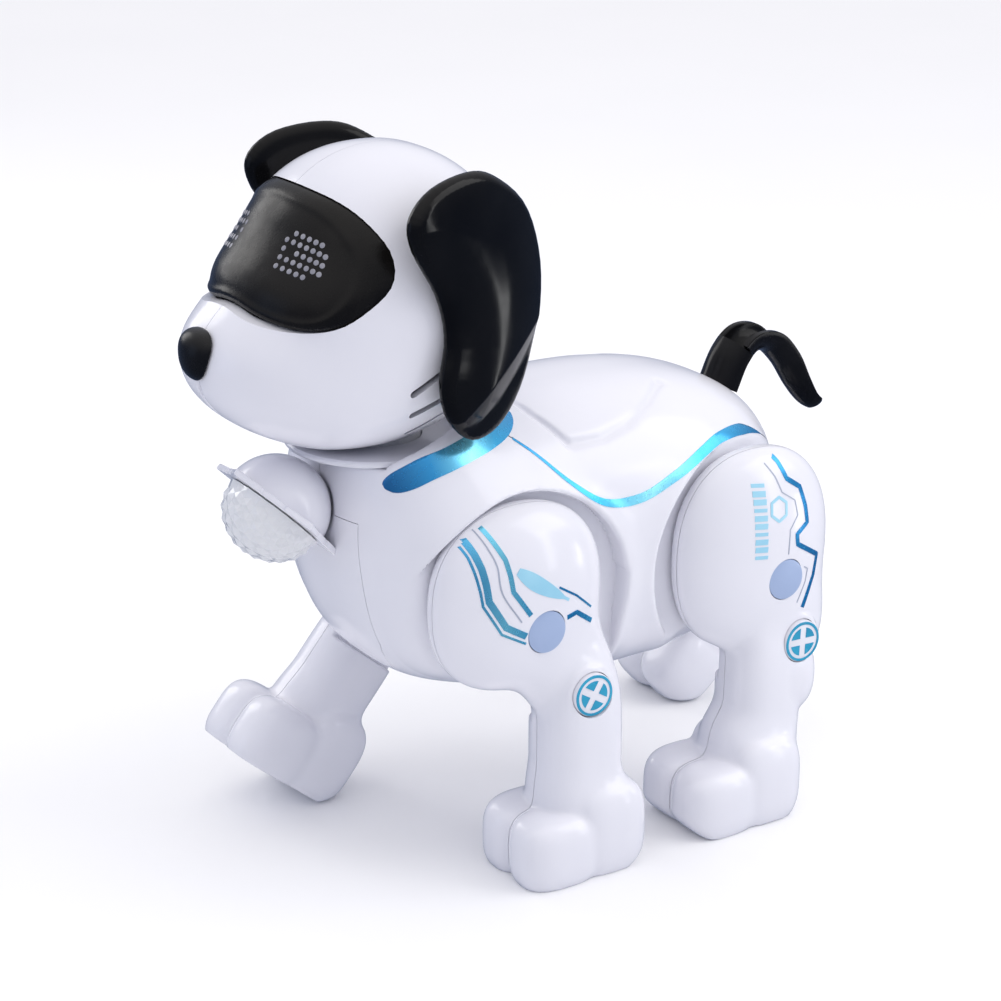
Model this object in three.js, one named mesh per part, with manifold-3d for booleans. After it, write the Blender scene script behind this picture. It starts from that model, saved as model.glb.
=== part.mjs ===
// Robot dog toy: a walking dog of moulded plastic half shells, with a turning head, four motor-driven legs,
// a dark eye visor with a dot-matrix board behind it, a projector lamp on the chest and soft ears and tail.
// Millimetres. +X is the dog's left, -Y is forward (towards the nose) and +Z is up from the ground.
// Places are written as (x, forward, z): forward is measured along the dog, positive towards the nose, and z from
// a datum that lies SOLE below the ground, which the finished dog is lowered by.

import * as THREE from "three";
import { mergeVertices } from "three/addons/utils/BufferGeometryUtils.js";
import Module from "manifold-3d";

const wasm = await Module();
wasm.setup();

// ---------------------------------------------------------------- driving dimensions
const MIDDLE = -12.15; // forward coordinate of the middle of the overall length, which becomes y = 0
const SOLE = 4.5; // height of the soles, and so of the ground, above the datum of z
const WALL = 2.2; // thickness of the moulded shells
const GAP = 0.3; // between two pieces that meet
const SEAM = 0.15; // half the gap on the centre plane between left and right shells

const BODY = {
  centre: [0, -15, 108],
  barrel: { centre: [0, -20, 107], radii: [48, 82, 50] },
  chest: { centre: [0, 28, 112], radii: [47, 37, 42] },
  neck: { centre: [0, 42, 132], radii: [40, 26, 38] },
};
const COLLAR = { forward: 66.8, height: 142.5, rise: 0.367 }; // the neck is cut on a plane that rises rearwards
const HEAD = {
  centre: [0, 56, 192],
  cranium: { centre: [0, 47, 197], radii: [43, 43, 46] },
  muzzle: { centre: [0, 80, 181], radii: [31, 30, 24] },
  cheeks: { centre: [0, 64, 176], radii: [39, 36, 27] },
  floor: 150,
};
const NECK = { forward: 47, seat: 146.3, post: 14, ring: 30, headFlange: 161 };

const LEG_PLANE = 47; // x of the parting plane of a leg
const LEG_INNER = 42.5; // the flat inner face of a thigh
const POCKET_FLOOR = 41.5; // the flat body wall that a thigh runs along
const FRONT = {
  hip: [20.7, 94],
  lobe: { centre: [46, 3.8, 9], radii: [13.5, 31.5, 31] },
  knee: { centre: [47, -18, -26], radii: [11, 15, 16] },
  shin: { centre: [47, -18, -43], radii: [11.5, 13.5, 32] },
  paw: { centre: [47, -14.5, -80.5], radii: [17.5, 23, 14.5] },
  thighCentre: [47, -2, -2],
  footCentre: [47, -17, -68],
  badge: [-18, -26],
  pocket: { forward: 21.5, height: 101, radii: [38.5, 35] },
  pinionSide: -1,
};
const REAR = {
  hip: [-75.4, 91],
  lobe: { centre: [46, 5.9, 9], radii: [13.5, 31, 35] },
  knee: { centre: [47, -7.7, -24], radii: [11, 15, 16] },
  shin: { centre: [47, 1.5, -42], radii: [11.5, 13.5, 32] },
  paw: { centre: [47, 16, -77], radii: [17.5, 24, 14.5] },
  thighCentre: [47, 0, -2],
  footCentre: [47, 7, -64],
  badge: [-7.7, -24],
  pocket: { forward: -69, height: 99, radii: [38.5, 37.5] },
  pinionSide: 1,
};
const REST_SWING = { frontRight: 40, rearRight: -41.8 }; // degrees forward of standing straight

const GEAR = { teeth: 16, pinionTeeth: 8, module: 1.75, thickness: 3, inner: 15 };
const MOTOR = { radius: 8.5, inner: 2, outer: 13 };

// ---------------------------------------------------------------- materials
const plastic = (color, roughness) =>
  new THREE.MeshStandardMaterial({ color, roughness, metalness: 0 });
const WHITE = plastic(0xf4f4f8, 0.25);
const LILAC = plastic(0xa9b8dd, 0.4);
const BLACK = plastic(0x101012, 0.2);
const VISOR = plastic(0x0b0b0c, 0.12);
const RUBBER = plastic(0x17171a, 0.35);
const CLEAR = new THREE.MeshStandardMaterial({
  color: 0xe8eef2, roughness: 0.05, metalness: 0, transparent: true, opacity: 0.4,
});
const FOIL = new THREE.MeshStandardMaterial({ color: 0x2b9fd0, roughness: 0.25, metalness: 0.8 });
const BOARD = plastic(0x1f6b43, 0.5);
const NYLON = plastic(0xe7e3d6, 0.5);
const STEEL = new THREE.MeshStandardMaterial({ color: 0xa8abb0, roughness: 0.35, metalness: 1 });
const CELL = plastic(0x2f4f9f, 0.4);
const CONE = plastic(0x2a2a2c, 0.7);

// ---------------------------------------------------------------- solids
const yOf = (forward) => MIDDLE - forward;

// A closed three.js geometry as a solid whose shared vertices are merged.
function solid(geometry) {
  const bare = geometry.clone();
  bare.deleteAttribute("normal");
  bare.deleteAttribute("uv");
  const merged = mergeVertices(bare, 1e-4);
  return new wasm.Manifold(
    new wasm.Mesh({
      numProp: 3,
      vertProperties: new Float32Array(merged.attributes.position.array),
      triVerts: new Uint32Array(merged.index.array),
    }),
  );
}

// The largest piece of a solid: a boolean cut can leave crumbs beside it.
function largest(piece) {
  const pieces = piece.decompose();
  return pieces.reduce((a, b) => (b.volume() > a.volume() ? b : a));
}

// A solid as a drawable geometry.
function geometryOf(piece) {
  const mesh = largest(piece).getMesh();
  const geometry = new THREE.BufferGeometry();
  const positions = new Float32Array(mesh.numVert * 3);
  for (let i = 0; i < mesh.numVert; i += 1)
    for (let k = 0; k < 3; k += 1)
      positions[i * 3 + k] = mesh.vertProperties[i * mesh.numProp + k];
  geometry.setAttribute("position", new THREE.BufferAttribute(positions, 3));
  geometry.setIndex(new THREE.BufferAttribute(new Uint32Array(mesh.triVerts), 1));
  geometry.computeVertexNormals();
  return geometry;
}

// The same geometry on the other side of the centre plane.
function mirrored(geometry) {
  const copy = geometry.clone().scale(-1, 1, 1);
  const index = copy.index.array;
  for (let i = 0; i < index.length; i += 3)
    [index[i + 1], index[i + 2]] = [index[i + 2], index[i + 1]];
  copy.computeVertexNormals();
  return copy;
}

function box(xs, forwards, zs) {
  const size = [xs[1] - xs[0], forwards[1] - forwards[0], zs[1] - zs[0]];
  const geometry = new THREE.BoxGeometry(...size);
  geometry.translate((xs[0] + xs[1]) / 2, yOf((forwards[0] + forwards[1]) / 2), (zs[0] + zs[1]) / 2);
  return solid(geometry);
}

// A cylinder along X between two x values.
function cylinderX(radius, xs, forward, z, segments = 16) {
  const geometry = new THREE.CylinderGeometry(radius, radius, xs[1] - xs[0], segments);
  geometry.rotateZ(Math.PI / 2);
  geometry.translate((xs[0] + xs[1]) / 2, yOf(forward), z);
  return solid(geometry);
}

function cylinderZ(radius, zs, forward, segments = 20) {
  const geometry = new THREE.CylinderGeometry(radius, radius, zs[1] - zs[0], segments);
  geometry.rotateX(Math.PI / 2);
  geometry.translate(0, yOf(forward), (zs[0] + zs[1]) / 2);
  return solid(geometry);
}

// A cylinder along the dog between two forward values.
function cylinderY(radius, forwards, x, z, segments = 20) {
  const geometry = new THREE.CylinderGeometry(radius, radius, forwards[1] - forwards[0], segments);
  geometry.translate(x, yOf((forwards[0] + forwards[1]) / 2), z);
  return solid(geometry);
}

// An outline of (forward, z) points drawn on the side view and extruded across the dog.
function sidePrism(points, xs) {
  const shape = new THREE.Shape(points.map(([forward, z]) => new THREE.Vector2(yOf(forward), z)));
  const geometry = new THREE.ExtrudeGeometry(shape, { depth: xs[1] - xs[0], bevelEnabled: false });
  const across = new THREE.Matrix4().makeBasis(
    new THREE.Vector3(0, 1, 0),
    new THREE.Vector3(0, 0, 1),
    new THREE.Vector3(1, 0, 0),
  );
  geometry.applyMatrix4(across);
  geometry.translate(xs[0], 0, 0);
  return solid(geometry);
}

// An outline of (x, z) points drawn on the front view and extruded from one forward value back to another.
function frontPrism(points, forwards) {
  const shape = new THREE.Shape(points.map(([x, z]) => new THREE.Vector2(x, z)));
  const depth = forwards[1] - forwards[0];
  const geometry = new THREE.ExtrudeGeometry(shape, { depth, bevelEnabled: false });
  geometry.rotateX(Math.PI / 2);
  geometry.translate(0, yOf(forwards[0]), 0);
  return solid(geometry);
}

function ellipsePoints(forward, z, radii, count = 18) {
  const points = [];
  for (let i = 0; i < count; i += 1) {
    const angle = (i / count) * 2 * Math.PI;
    points.push([forward + radii[0] * Math.cos(angle), z + radii[1] * Math.sin(angle)]);
  }
  return points;
}

// ---------------------------------------------------------------- rounded shapes as fields
// A field is negative inside the shape. It takes a place as (x, forward, z).
function ellipsoid({ centre, radii }, plan = 2, side = 2) {
  return (x, forward, z) => {
    const a = Math.abs((x - centre[0]) / radii[0]);
    const b = Math.abs((forward - centre[1]) / radii[1]);
    const c = Math.abs((z - centre[2]) / radii[2]);
    const flat = (a ** plan + b ** plan) ** (side / plan);
    return ((flat + c ** side) ** (1 / side) - 1) * Math.min(...radii);
  };
}

function smoothJoin(first, second, blend) {
  return (x, forward, z) => {
    const a = first(x, forward, z);
    const b = second(x, forward, z);
    const h = Math.min(1, Math.max(0, 0.5 + (0.5 * (b - a)) / blend));
    return b + (a - b) * h - blend * h * (1 - h);
  };
}

// The surface of a field around a centre that sees all of it, moved inwards by inset.
function blob(field, centre, detail, inset = 0) {
  const geometry = new THREE.IcosahedronGeometry(1, detail);
  const position = geometry.attributes.position;
  const direction = new THREE.Vector3();
  for (let i = 0; i < position.count; i += 1) {
    direction.fromBufferAttribute(position, i).normalize();
    let near = 0;
    let far = 170;
    for (let step = 0; step < 30; step += 1) {
      const middle = (near + far) / 2;
      const value = field(
        centre[0] + direction.x * middle,
        centre[1] - direction.y * middle,
        centre[2] + direction.z * middle,
      );
      if (value < 0) near = middle;
      else far = middle;
    }
    const reach = near - inset;
    position.setXYZ(
      i,
      centre[0] + direction.x * reach,
      yOf(centre[1]) + direction.y * reach,
      centre[2] + direction.z * reach,
    );
  }
  return solid(geometry);
}

const bodyField = smoothJoin(
  smoothJoin(ellipsoid(BODY.barrel, 2.6, 2.7), ellipsoid(BODY.chest, 3, 2.6), 8),
  ellipsoid(BODY.neck, 2.2, 2.2),
  12,
);
const headField = smoothJoin(
  smoothJoin(ellipsoid(HEAD.cranium, 2.8, 2.1), ellipsoid(HEAD.cheeks, 2.2, 2), 8),
  ellipsoid(HEAD.muzzle, 2.5, 2),
  8,
);

// ---------------------------------------------------------------- body
// The line in the side view on which the back cover meets the side shells, from the collar to the rump.
const BACK_SEAM = new THREE.CatmullRomCurve3(
  [
    [46, 166], [28, 158], [14, 148], [2, 136], [-10, 127.6], [-24, 126.4], [-38, 130.6],
    [-52, 136], [-62, 138.4], [-74, 137.6], [-86, 132], [-97, 122], [-110, 104],
  ].map(([forward, z]) => new THREE.Vector3(forward, z, 0)),
);
const SEAM_STEPS = 20;

// The inlaid strip's stretch of that line, counted in the line's steps, and half its width.
const TRIM = { from: 3, to: 17, halfWidth: 1.5 };

// The trim's half width at a step of the line: full in the middle and fading to nothing at both ends.
function trimHalfWidth(step) {
  const along = (step - TRIM.from) / (TRIM.to - TRIM.from);
  if (along <= 0 || along >= 1) return 0;
  return TRIM.halfWidth * Math.min(1, 5 * along, 5 * (1 - along));
}

// The back seam moved up (side = 1) or down (side = -1) by the trim's half width plus a margin.
function seamEdge(side, margin, from = 0, to = SEAM_STEPS) {
  const points = [];
  for (let step = from; step <= to; step += 1) {
    const place = BACK_SEAM.getPoint(step / SEAM_STEPS);
    const tangent = BACK_SEAM.getTangent(step / SEAM_STEPS);
    const shift = side * (trimHalfWidth(step) + margin);
    points.push([place.x + tangent.y * shift, place.y - tangent.x * shift]);
  }
  return points;
}

const WIDE = [-80, 80];
const ABOVE_SEAM = [[-125, 104], [-125, 190], [46, 190]];
const BELOW_SEAM = [[-125, 104], [-125, 30], [90, 30], [90, 166]];
const coverRegion = () => sidePrism([...seamEdge(1, GAP / 2), ...ABOVE_SEAM], WIDE);
const sideRegion = () => sidePrism([...seamEdge(-1, GAP / 2), ...BELOW_SEAM], WIDE);
const trimRegion = () =>
  sidePrism(
    [
      ...seamEdge(1, -GAP / 2, TRIM.from + 1, TRIM.to - 1),
      ...seamEdge(-1, -GAP / 2, TRIM.from + 1, TRIM.to - 1).reverse(),
    ],
    [0, 80],
  );

// Everything above the sloping plane that the neck is cut on.
function aboveCollar(lowered = 0) {
  const z = (forward) => COLLAR.height + (COLLAR.forward - forward) * COLLAR.rise - lowered;
  return sidePrism([[110, z(110)], [110, 230], [8, 230], [8, z(8)]], WIDE);
}

// The bowl that the underside of the head turns in.
function headBowl(grown = 0) {
  const geometry = new THREE.SphereGeometry(1, 16, 10);
  geometry.rotateX(Math.PI / 2);
  geometry.scale(47 + grown, 47 + grown, 52.5 + grown);
  geometry.translate(0, yOf(NECK.forward), 197);
  return solid(geometry);
}

// The pocket in the body's side that one thigh swings in, from the pocket floor outwards.
function pocket(leg, side, grown = 0) {
  const { forward, height, radii } = leg.pocket;
  const xs = side > 0 ? [POCKET_FLOOR - grown, 70] : [-70, -POCKET_FLOOR + grown];
  const round = ellipsePoints(forward, height, [radii[0] + grown, radii[1] + grown]);
  const [low, high] = leg === FRONT ? [-16, 44] : [-125, -42];
  const opening = [[low - grown, 40], [high + grown, 40], [high + grown, height], [low - grown, height]];
  return sidePrism(round, xs).add(sidePrism(opening, xs));
}

function withoutPockets(piece, grown = 0) {
  let cut = piece;
  for (const leg of [FRONT, REAR])
    for (const side of [1, -1]) cut = cut.subtract(pocket(leg, side, grown));
  return cut;
}

const LAMP = { forward: 84.5, z: 130, radius: 17.5, flange: 3.5, tilt: 45, stemZ: 122, stemRadius: 5 };
const TAIL_ROOT = { forward: -91, z: 143 };

function lampSphere(radius) {
  const geometry = new THREE.SphereGeometry(radius, 16, 10);
  geometry.translate(0, yOf(LAMP.forward), LAMP.z);
  return solid(geometry);
}

function bodyWall() {
  const outer = withoutPockets(
    blob(bodyField, BODY.centre, 5)
      .subtract(aboveCollar())
      .subtract(headBowl())
      .subtract(cylinderZ(NECK.ring + 1, [NECK.seat, 200], NECK.forward))
      .subtract(lampSphere(LAMP.radius + 0.6)),
  );
  const inner = withoutPockets(
    blob(bodyField, BODY.centre, 3, WALL)
      .subtract(aboveCollar(WALL))
      .subtract(headBowl(WALL))
      .subtract(cylinderZ(NECK.ring + 3, [NECK.seat - WALL, 200], NECK.forward))
      .subtract(lampSphere(LAMP.radius + 0.6 + WALL)),
    WALL,
  );
  let wall = outer.subtract(inner);
  wall = wall.subtract(cylinderZ(NECK.post + 3, [120, 200], NECK.forward));
  for (const leg of [FRONT, REAR]) wall = wall.subtract(cylinderX(4.4, [-60, 60], ...leg.hip));
  const flange = LAMP.radius + LAMP.flange + 0.5;
  const slot = solid(inLampFrame(lathe([[0, -1.8], [flange, -1.8], [flange, 1], [0, 1]], 18)));
  return wall.subtract(cylinderY(LAMP.stemRadius + 0.4, [50, 80], 0, LAMP.stemZ)).subtract(slot);
}

const chestOutline = (grown) => [
  [-22 - grown, 128 + grown], [-22 - grown, 84 - grown], [-12 - grown, 66 - grown],
  [12 + grown, 66 - grown], [22 + grown, 84 - grown], [22 + grown, 128 + grown],
];
const chestRegion = (grown = 0) => frontPrism(chestOutline(grown), [48, 100]);
const BELLY = { xs: [-20, 20], forwards: [-44, 10], zs: [40, 72] };
const bellyRegion = (grown = 0) =>
  box(
    BELLY.xs.map((x) => x + Math.sign(x) * grown),
    [BELLY.forwards[0] - grown, BELLY.forwards[1] + grown],
    BELLY.zs,
  );
const SWITCH = { forward: -54, z: 57.4, knob: [7.4, 6.4], travel: 3 };
const SOCKET = { forward: 3, radius: 3.4 };
const leftHalf = box([SEAM, 80], [-140, 120], [0, 260]);

// ---------------------------------------------------------------- lamp
// The lamp's own frame has +Y along the way it shines; it is turned forward and down in place.
function inLampFrame(geometry) {
  geometry.rotateX(Math.PI);
  geometry.rotateX(THREE.MathUtils.degToRad(LAMP.tilt));
  geometry.translate(0, yOf(LAMP.forward), LAMP.z);
  return geometry;
}

function lathe(profile, segments) {
  return new THREE.LatheGeometry(profile.map(([r, y]) => new THREE.Vector2(r, y)), segments);
}

// Points on an arc of the given radius about the axis, from one angle above the equator to another.
function arc(radius, fromDegrees, toDegrees, steps) {
  const points = [];
  for (let i = 0; i <= steps; i += 1) {
    const angle = THREE.MathUtils.degToRad(fromDegrees + ((toDegrees - fromDegrees) * i) / steps);
    const r = Math.abs(Math.cos(angle)) < 1e-6 ? 0 : radius * Math.cos(angle);
    points.push([r, radius * Math.sin(angle)]);
  }
  return points;
}

function lampHousing() {
  const r = LAMP.radius;
  const profile = [
    ...arc(r, -90, -4, 4),
    [r + LAMP.flange, -1.2],
    [r + LAMP.flange, 0.4],
    [r - 2, 0.4],
    ...arc(r - 2, -6, -90, 3),
  ];
  const cup = solid(inLampFrame(lathe(profile, 14)));
  const stem = cylinderY(LAMP.stemRadius, [58, 72], 0, LAMP.stemZ, 16);
  const room = solid(inLampFrame(lathe([[0, -14], [14.2, -6], [15.4, 0.6], [0, 0.6]], 14)));
  return cup.add(stem).subtract(room);
}

function lampLens() {
  const r = LAMP.radius;
  const profile = [
    [r - 0.5, 0.8], [r - 0.5, 3], ...arc(r - 1, 14, 90, 4),
    ...arc(r - 2.6, 90, 12, 4), [r - 2.2, 0.8], [r - 0.5, 0.8],
  ];
  return solid(inLampFrame(lathe(profile, 12)));
}

function lampBoard() {
  return solid(inLampFrame(lathe([[0, -6], [12, -6], [12, -4.4], [4, -4.4], [4, -2.4], [0, -1.4]], 16)));
}

// ---------------------------------------------------------------- tail
const TAIL_PATH = new THREE.CatmullRomCurve3(
  [[-90, 141], [-95, 151], [-102, 157], [-111, 156], [-119, 148], [-125, 137], [-131, 129.5], [-137, 128.6]]
    .map(([forward, z]) => new THREE.Vector3(0, yOf(forward), z)),
);

// A half pipe, open underneath, bent along the tail's path and narrowing to its tip.
function tail() {
  const outer = 8.6;
  const inner = 5.8;
  const shape = new THREE.Shape();
  shape.absarc(0, 0, outer, 0, Math.PI, false);
  shape.lineTo(-inner, 0);
  shape.absarc(0, 0, inner, Math.PI, 0, true);
  shape.closePath();
  const geometry = new THREE.ExtrudeGeometry(shape, {
    depth: 1, steps: 12, bevelEnabled: false, curveSegments: 5,
  });
  const position = geometry.attributes.position;
  for (let i = 0; i < position.count; i += 1) {
    const t = position.getZ(i);
    const place = TAIL_PATH.getPoint(t);
    const along = TAIL_PATH.getTangent(t);
    const up = new THREE.Vector3(0, -along.z, along.y);
    const scale = 1 - 0.62 * t ** 2.2;
    place.addScaledVector(up, (position.getY(i) - 2) * scale);
    place.x -= position.getX(i) * scale;
    position.setXYZ(i, place.x, place.y, place.z);
  }
  const plug = cylinderZ(4, [126, 143.5], TAIL_ROOT.forward, 16);
  return solid(geometry).add(plug);
}

// ---------------------------------------------------------------- head
const VISOR_HALF = [
  [8, 233], [20, 231], [29, 226.5], [36, 219], [39, 209], [37, 201], [32, 196.5], [25, 194.4], [14, 197], [5, 200],
];
function visorRegion(grown = 0) {
  const centreZ = 214;
  const half = VISOR_HALF.map(([x, z]) => [x + Math.sign(x) * grown, z + Math.sign(z - centreZ) * grown]);
  const other = half.map(([x, z]) => [-x, z]).reverse();
  return frontPrism([...half, ...other].reverse(), [52, 120]);
}

function headWall() {
  const floor = (z) => box([-60, 60], [-20, 130], [60, z]);
  const outer = blob(headField, HEAD.centre, 5).subtract(floor(HEAD.floor));
  const inner = blob(headField, HEAD.centre, 3, WALL).subtract(floor(HEAD.floor + WALL));
  let wall = outer.subtract(inner);
  wall = wall.subtract(cylinderZ(NECK.post + GAP, [140, 165], NECK.forward));
  wall = wall.subtract(cylinderY(3.3, [95, 125], 0, NOSE.z));
  for (const side of [1, -1]) {
    const xs = side > 0 ? [20, 60] : [-60, -20];
    wall = wall.subtract(cylinderX(EAR.peg + GAP, xs, EAR.pegPlace[0], EAR.pegPlace[1], 20));
  }
  return wall;
}

const NOSE = { forward: 108.5, z: 184.5, radii: [8.7, 6, 8.3] };
function nose() {
  const geometry = new THREE.SphereGeometry(1, 16, 10);
  geometry.scale(...NOSE.radii);
  geometry.translate(0, yOf(NOSE.forward), NOSE.z);
  const clear = blob(headField, HEAD.centre, 5, -GAP);
  return largest(solid(geometry).subtract(clear)).add(cylinderY(3, [98, 111], 0, NOSE.z, 16));
}

// An ear is a bevelled plate. Its outline is drawn flat as (across, up) about its middle, and the plate then
// stands beside the head, turned so that its front edge is further out than its rear edge.
const EAR = {
  middle: [42, 41, 201],
  turn: 17,
  thickness: 4,
  bevel: 2.6,
  peg: 5,
  pegPlace: [35, 216],
  outline: [
    [0, 40], [16, 37.5], [25, 30], [24, 20], [13.5, 4], [9.5, -10], [12, -24], [8.5, -36],
    [-2, -44.5], [-15, -42.5], [-26, -31], [-32.5, -12], [-33, 8], [-26, 26], [-12, 37],
  ],
};

function ear() {
  const outline = EAR.outline.map(([across, up]) => new THREE.Vector3(-across, up, 0));
  const curve = new THREE.CatmullRomCurve3(outline, true);
  const shape = new THREE.Shape(curve.getPoints(24).slice(0, -1).map(({ x, y }) => new THREE.Vector2(x, y)));
  const geometry = new THREE.ExtrudeGeometry(shape, {
    depth: EAR.thickness,
    bevelThickness: EAR.bevel,
    bevelSize: EAR.bevel,
    bevelOffset: -EAR.bevel,
    bevelSegments: 2,
  });
  geometry.rotateX(Math.PI / 2);
  geometry.rotateZ(Math.PI / 2 + THREE.MathUtils.degToRad(EAR.turn));
  const [x, forward, z] = EAR.middle;
  geometry.translate(x, yOf(forward), z);
  const peg = cylinderX(EAR.peg, [33, 41], EAR.pegPlace[0], EAR.pegPlace[1], 16);
  return solid(geometry).subtract(blob(headField, HEAD.centre, 5, -GAP)).add(peg);
}

function neckPost() {
  const z = NECK.seat;
  const top = NECK.headFlange;
  const profile = [
    [10, z - 10.3], [17.2, z - 10.3], [17.2, z - 8.1], [NECK.post, z - 8.1], [NECK.post, top],
    [17, top], [17, top + 2], [10, top + 2], [10, z - 10.3],
  ];
  const geometry = lathe(profile, 16);
  geometry.rotateX(Math.PI / 2);
  geometry.translate(0, yOf(NECK.forward), 0);
  return solid(geometry);
}

function neckRing() {
  const z = NECK.seat + GAP;
  const bore = NECK.post + 0.4;
  const profile = [
    [bore, z - 8], [NECK.post + 2.7, z - 8], [NECK.post + 2.7, z], [NECK.ring, z],
    [NECK.ring, z + 2], [bore, z + 2], [bore, z - 8],
  ];
  const geometry = lathe(profile, 20);
  geometry.rotateX(Math.PI / 2);
  geometry.translate(0, yOf(NECK.forward), 0);
  return solid(geometry);
}

// ---------------------------------------------------------------- legs
// A leg is drawn standing straight, about its hip axis: (x, forward of the hip, height above the hip).
const CAP = { radius: 7, recess: 57.4, thickness: 1.6 };
const BADGE = { radius: 7.3, recess: 55.4, top: 59.6 };

function inHipFrame(piece) {
  const geometry = geometryOf(piece);
  geometry.translate(0, -MIDDLE, 0);
  return geometry;
}

function legSolid(leg, inset) {
  const thigh = smoothJoin(ellipsoid(leg.lobe, 2, 2.3), ellipsoid(leg.knee), 10);
  const foot = smoothJoin(ellipsoid(leg.shin, 2, 3), ellipsoid(leg.paw, 2.4, 2.2), 7);
  const detail = inset > 0 ? 1 : 2;
  const ground = SOLE - leg.hip[1];
  let piece = blob(thigh, leg.thighCentre, detail, inset).add(blob(foot, leg.footCentre, detail, inset));
  piece = piece.subtract(box([20, LEG_INNER + inset], [-60, 60], [-38 - inset, 60]));
  return piece.subtract(box([0, 90], [-90, 90], [-140, ground + inset]));
}

function legParts(leg) {
  const skin = legSolid(leg, 0);
  const hollow = legSolid(leg, WALL);
  const [badgeForward, badgeUp] = leg.badge;
  const shell = skin
    .subtract(hollow)
    .subtract(cylinderX(4.3, [30, 50], 0, 0, 12))
    .subtract(cylinderX(CAP.radius + GAP, [CAP.recess, 80], 0, 0, 12))
    .subtract(cylinderX(BADGE.radius + GAP, [BADGE.recess, 80], badgeForward, badgeUp, 12));
  const socketBore = cylinderX(4.3, [30, 53], 0, 0, 12);
  const socket = cylinderX(8, [LEG_PLANE + 0.6, CAP.recess - 0.6], 0, 0, 12).subtract(socketBore);
  const outside = box([LEG_PLANE + SEAM, 90], [-120, 120], [-140, 80]);
  const inside = box([0, LEG_PLANE - SEAM], [-120, 120], [-140, 80]);
  return {
    leg_outer: [shell.add(socket).intersect(outside), WHITE],
    leg_inner: [shell.intersect(inside), WHITE],
    hip_cap: [cylinderX(CAP.radius, [CAP.recess + GAP, CAP.recess + CAP.thickness], 0, 0, 12), LILAC],
    knee_badge: [cylinderX(BADGE.radius, [BADGE.recess + GAP, BADGE.top], badgeForward, badgeUp, 12), WHITE],
    hip_gear: [hipGear(), NYLON],
  };
}

// ---------------------------------------------------------------- hip drive
// A toothed wheel's outline: straight-sided teeth, a little thinner than half the pitch so that they run freely.
function gearShape(teeth, phase) {
  const pitchRadius = (teeth * GEAR.module) / 2;
  const shape = new THREE.Shape();
  const step = (2 * Math.PI) / teeth;
  const corners = [
    [-0.3, -1.2], [-0.13, 0.85], [0.13, 0.85], [0.3, -1.2],
  ];
  for (let i = 0; i < teeth; i += 1)
    for (const [share, rise] of corners) {
      const angle = (i + share + phase) * step;
      const radius = pitchRadius + rise * GEAR.module;
      const point = [radius * Math.cos(angle), radius * Math.sin(angle)];
      if (i === 0 && share === corners[0][0]) shape.moveTo(...point);
      else shape.lineTo(...point);
    }
  shape.closePath();
  return shape;
}

function gearSolid(teeth, phase, forward) {
  const geometry = new THREE.ExtrudeGeometry(gearShape(teeth, phase), {
    depth: GEAR.thickness, bevelEnabled: false,
  });
  const across = new THREE.Matrix4().makeBasis(
    new THREE.Vector3(0, 1, 0),
    new THREE.Vector3(0, 0, 1),
    new THREE.Vector3(1, 0, 0),
  );
  geometry.applyMatrix4(across);
  geometry.translate(GEAR.inner, yOf(forward), 0);
  return solid(geometry);
}

// The wheel on the hip shaft, which carries the leg. It has a tooth on its axis line towards the pinion.
function hipGear() {
  return gearSolid(GEAR.teeth, 0, 0).add(cylinderX(4, [GEAR.inner - 1.5, LEG_PLANE + 5], 0, 0, 12));
}

const GEAR_CENTRES = ((GEAR.teeth + GEAR.pinionTeeth) * GEAR.module) / 2;

// The motor's pinion, with a gap on its axis line towards the wheel.
function pinion() {
  return gearSolid(GEAR.pinionTeeth, 0.5, 0).add(cylinderX(1.5, [MOTOR.outer - 4, GEAR.inner + 1], 0, 0, 12));
}

function motor(leg) {
  const forward = leg.hip[0] + leg.pinionSide * GEAR_CENTRES;
  const can = cylinderX(MOTOR.radius, [MOTOR.inner, MOTOR.outer], forward, leg.hip[1]);
  return can.subtract(cylinderX(1.9, [MOTOR.outer - 4.6, 30], forward, leg.hip[1], 12));
}

// ---------------------------------------------------------------- pieces inside the body
function speaker() {
  const geometry = lathe([[0, 0], [7, 0], [7, 5], [14, 9], [14, 11], [0, 11]], 24);
  geometry.translate(0, yOf(58), 92);
  return solid(geometry);
}

// The knob rests at the front end of its slot and travels backwards.
function powerSwitch() {
  const [length, width] = SWITCH.knob;
  const forward = SWITCH.forward + SWITCH.travel / 2;
  const across = [-width / 2, width / 2];
  const wide = [-width / 2 - 2, width / 2 + 2];
  const plate = box(wide, [forward - length, forward + length], [SWITCH.z + 5.6, SWITCH.z + 7]);
  const knob = box(across, [forward - length / 2, forward + length / 2], [SWITCH.z, SWITCH.z + 6]);
  return plate.add(knob);
}

function switchSlot() {
  const [length, width] = SWITCH.knob;
  const half = (length + SWITCH.travel) / 2 + GAP;
  return box([-width / 2 - GAP, width / 2 + GAP], [SWITCH.forward - half, SWITCH.forward + half], [40, 70]);
}

// ---------------------------------------------------------------- assembly
const dog = new THREE.Group();

function addMesh(parent, name, geometry, material) {
  const mesh = new THREE.Mesh(geometry, material);
  mesh.name = name;
  parent.add(mesh);
}

function addSolid(name, piece, material) {
  addMesh(dog, name, geometryOf(piece), material);
}

function addPair(name, piece, material) {
  const geometry = geometryOf(piece);
  addMesh(dog, `${name}_left`, geometry, material);
  addMesh(dog, `${name}_right`, mirrored(geometry), material);
}

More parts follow.
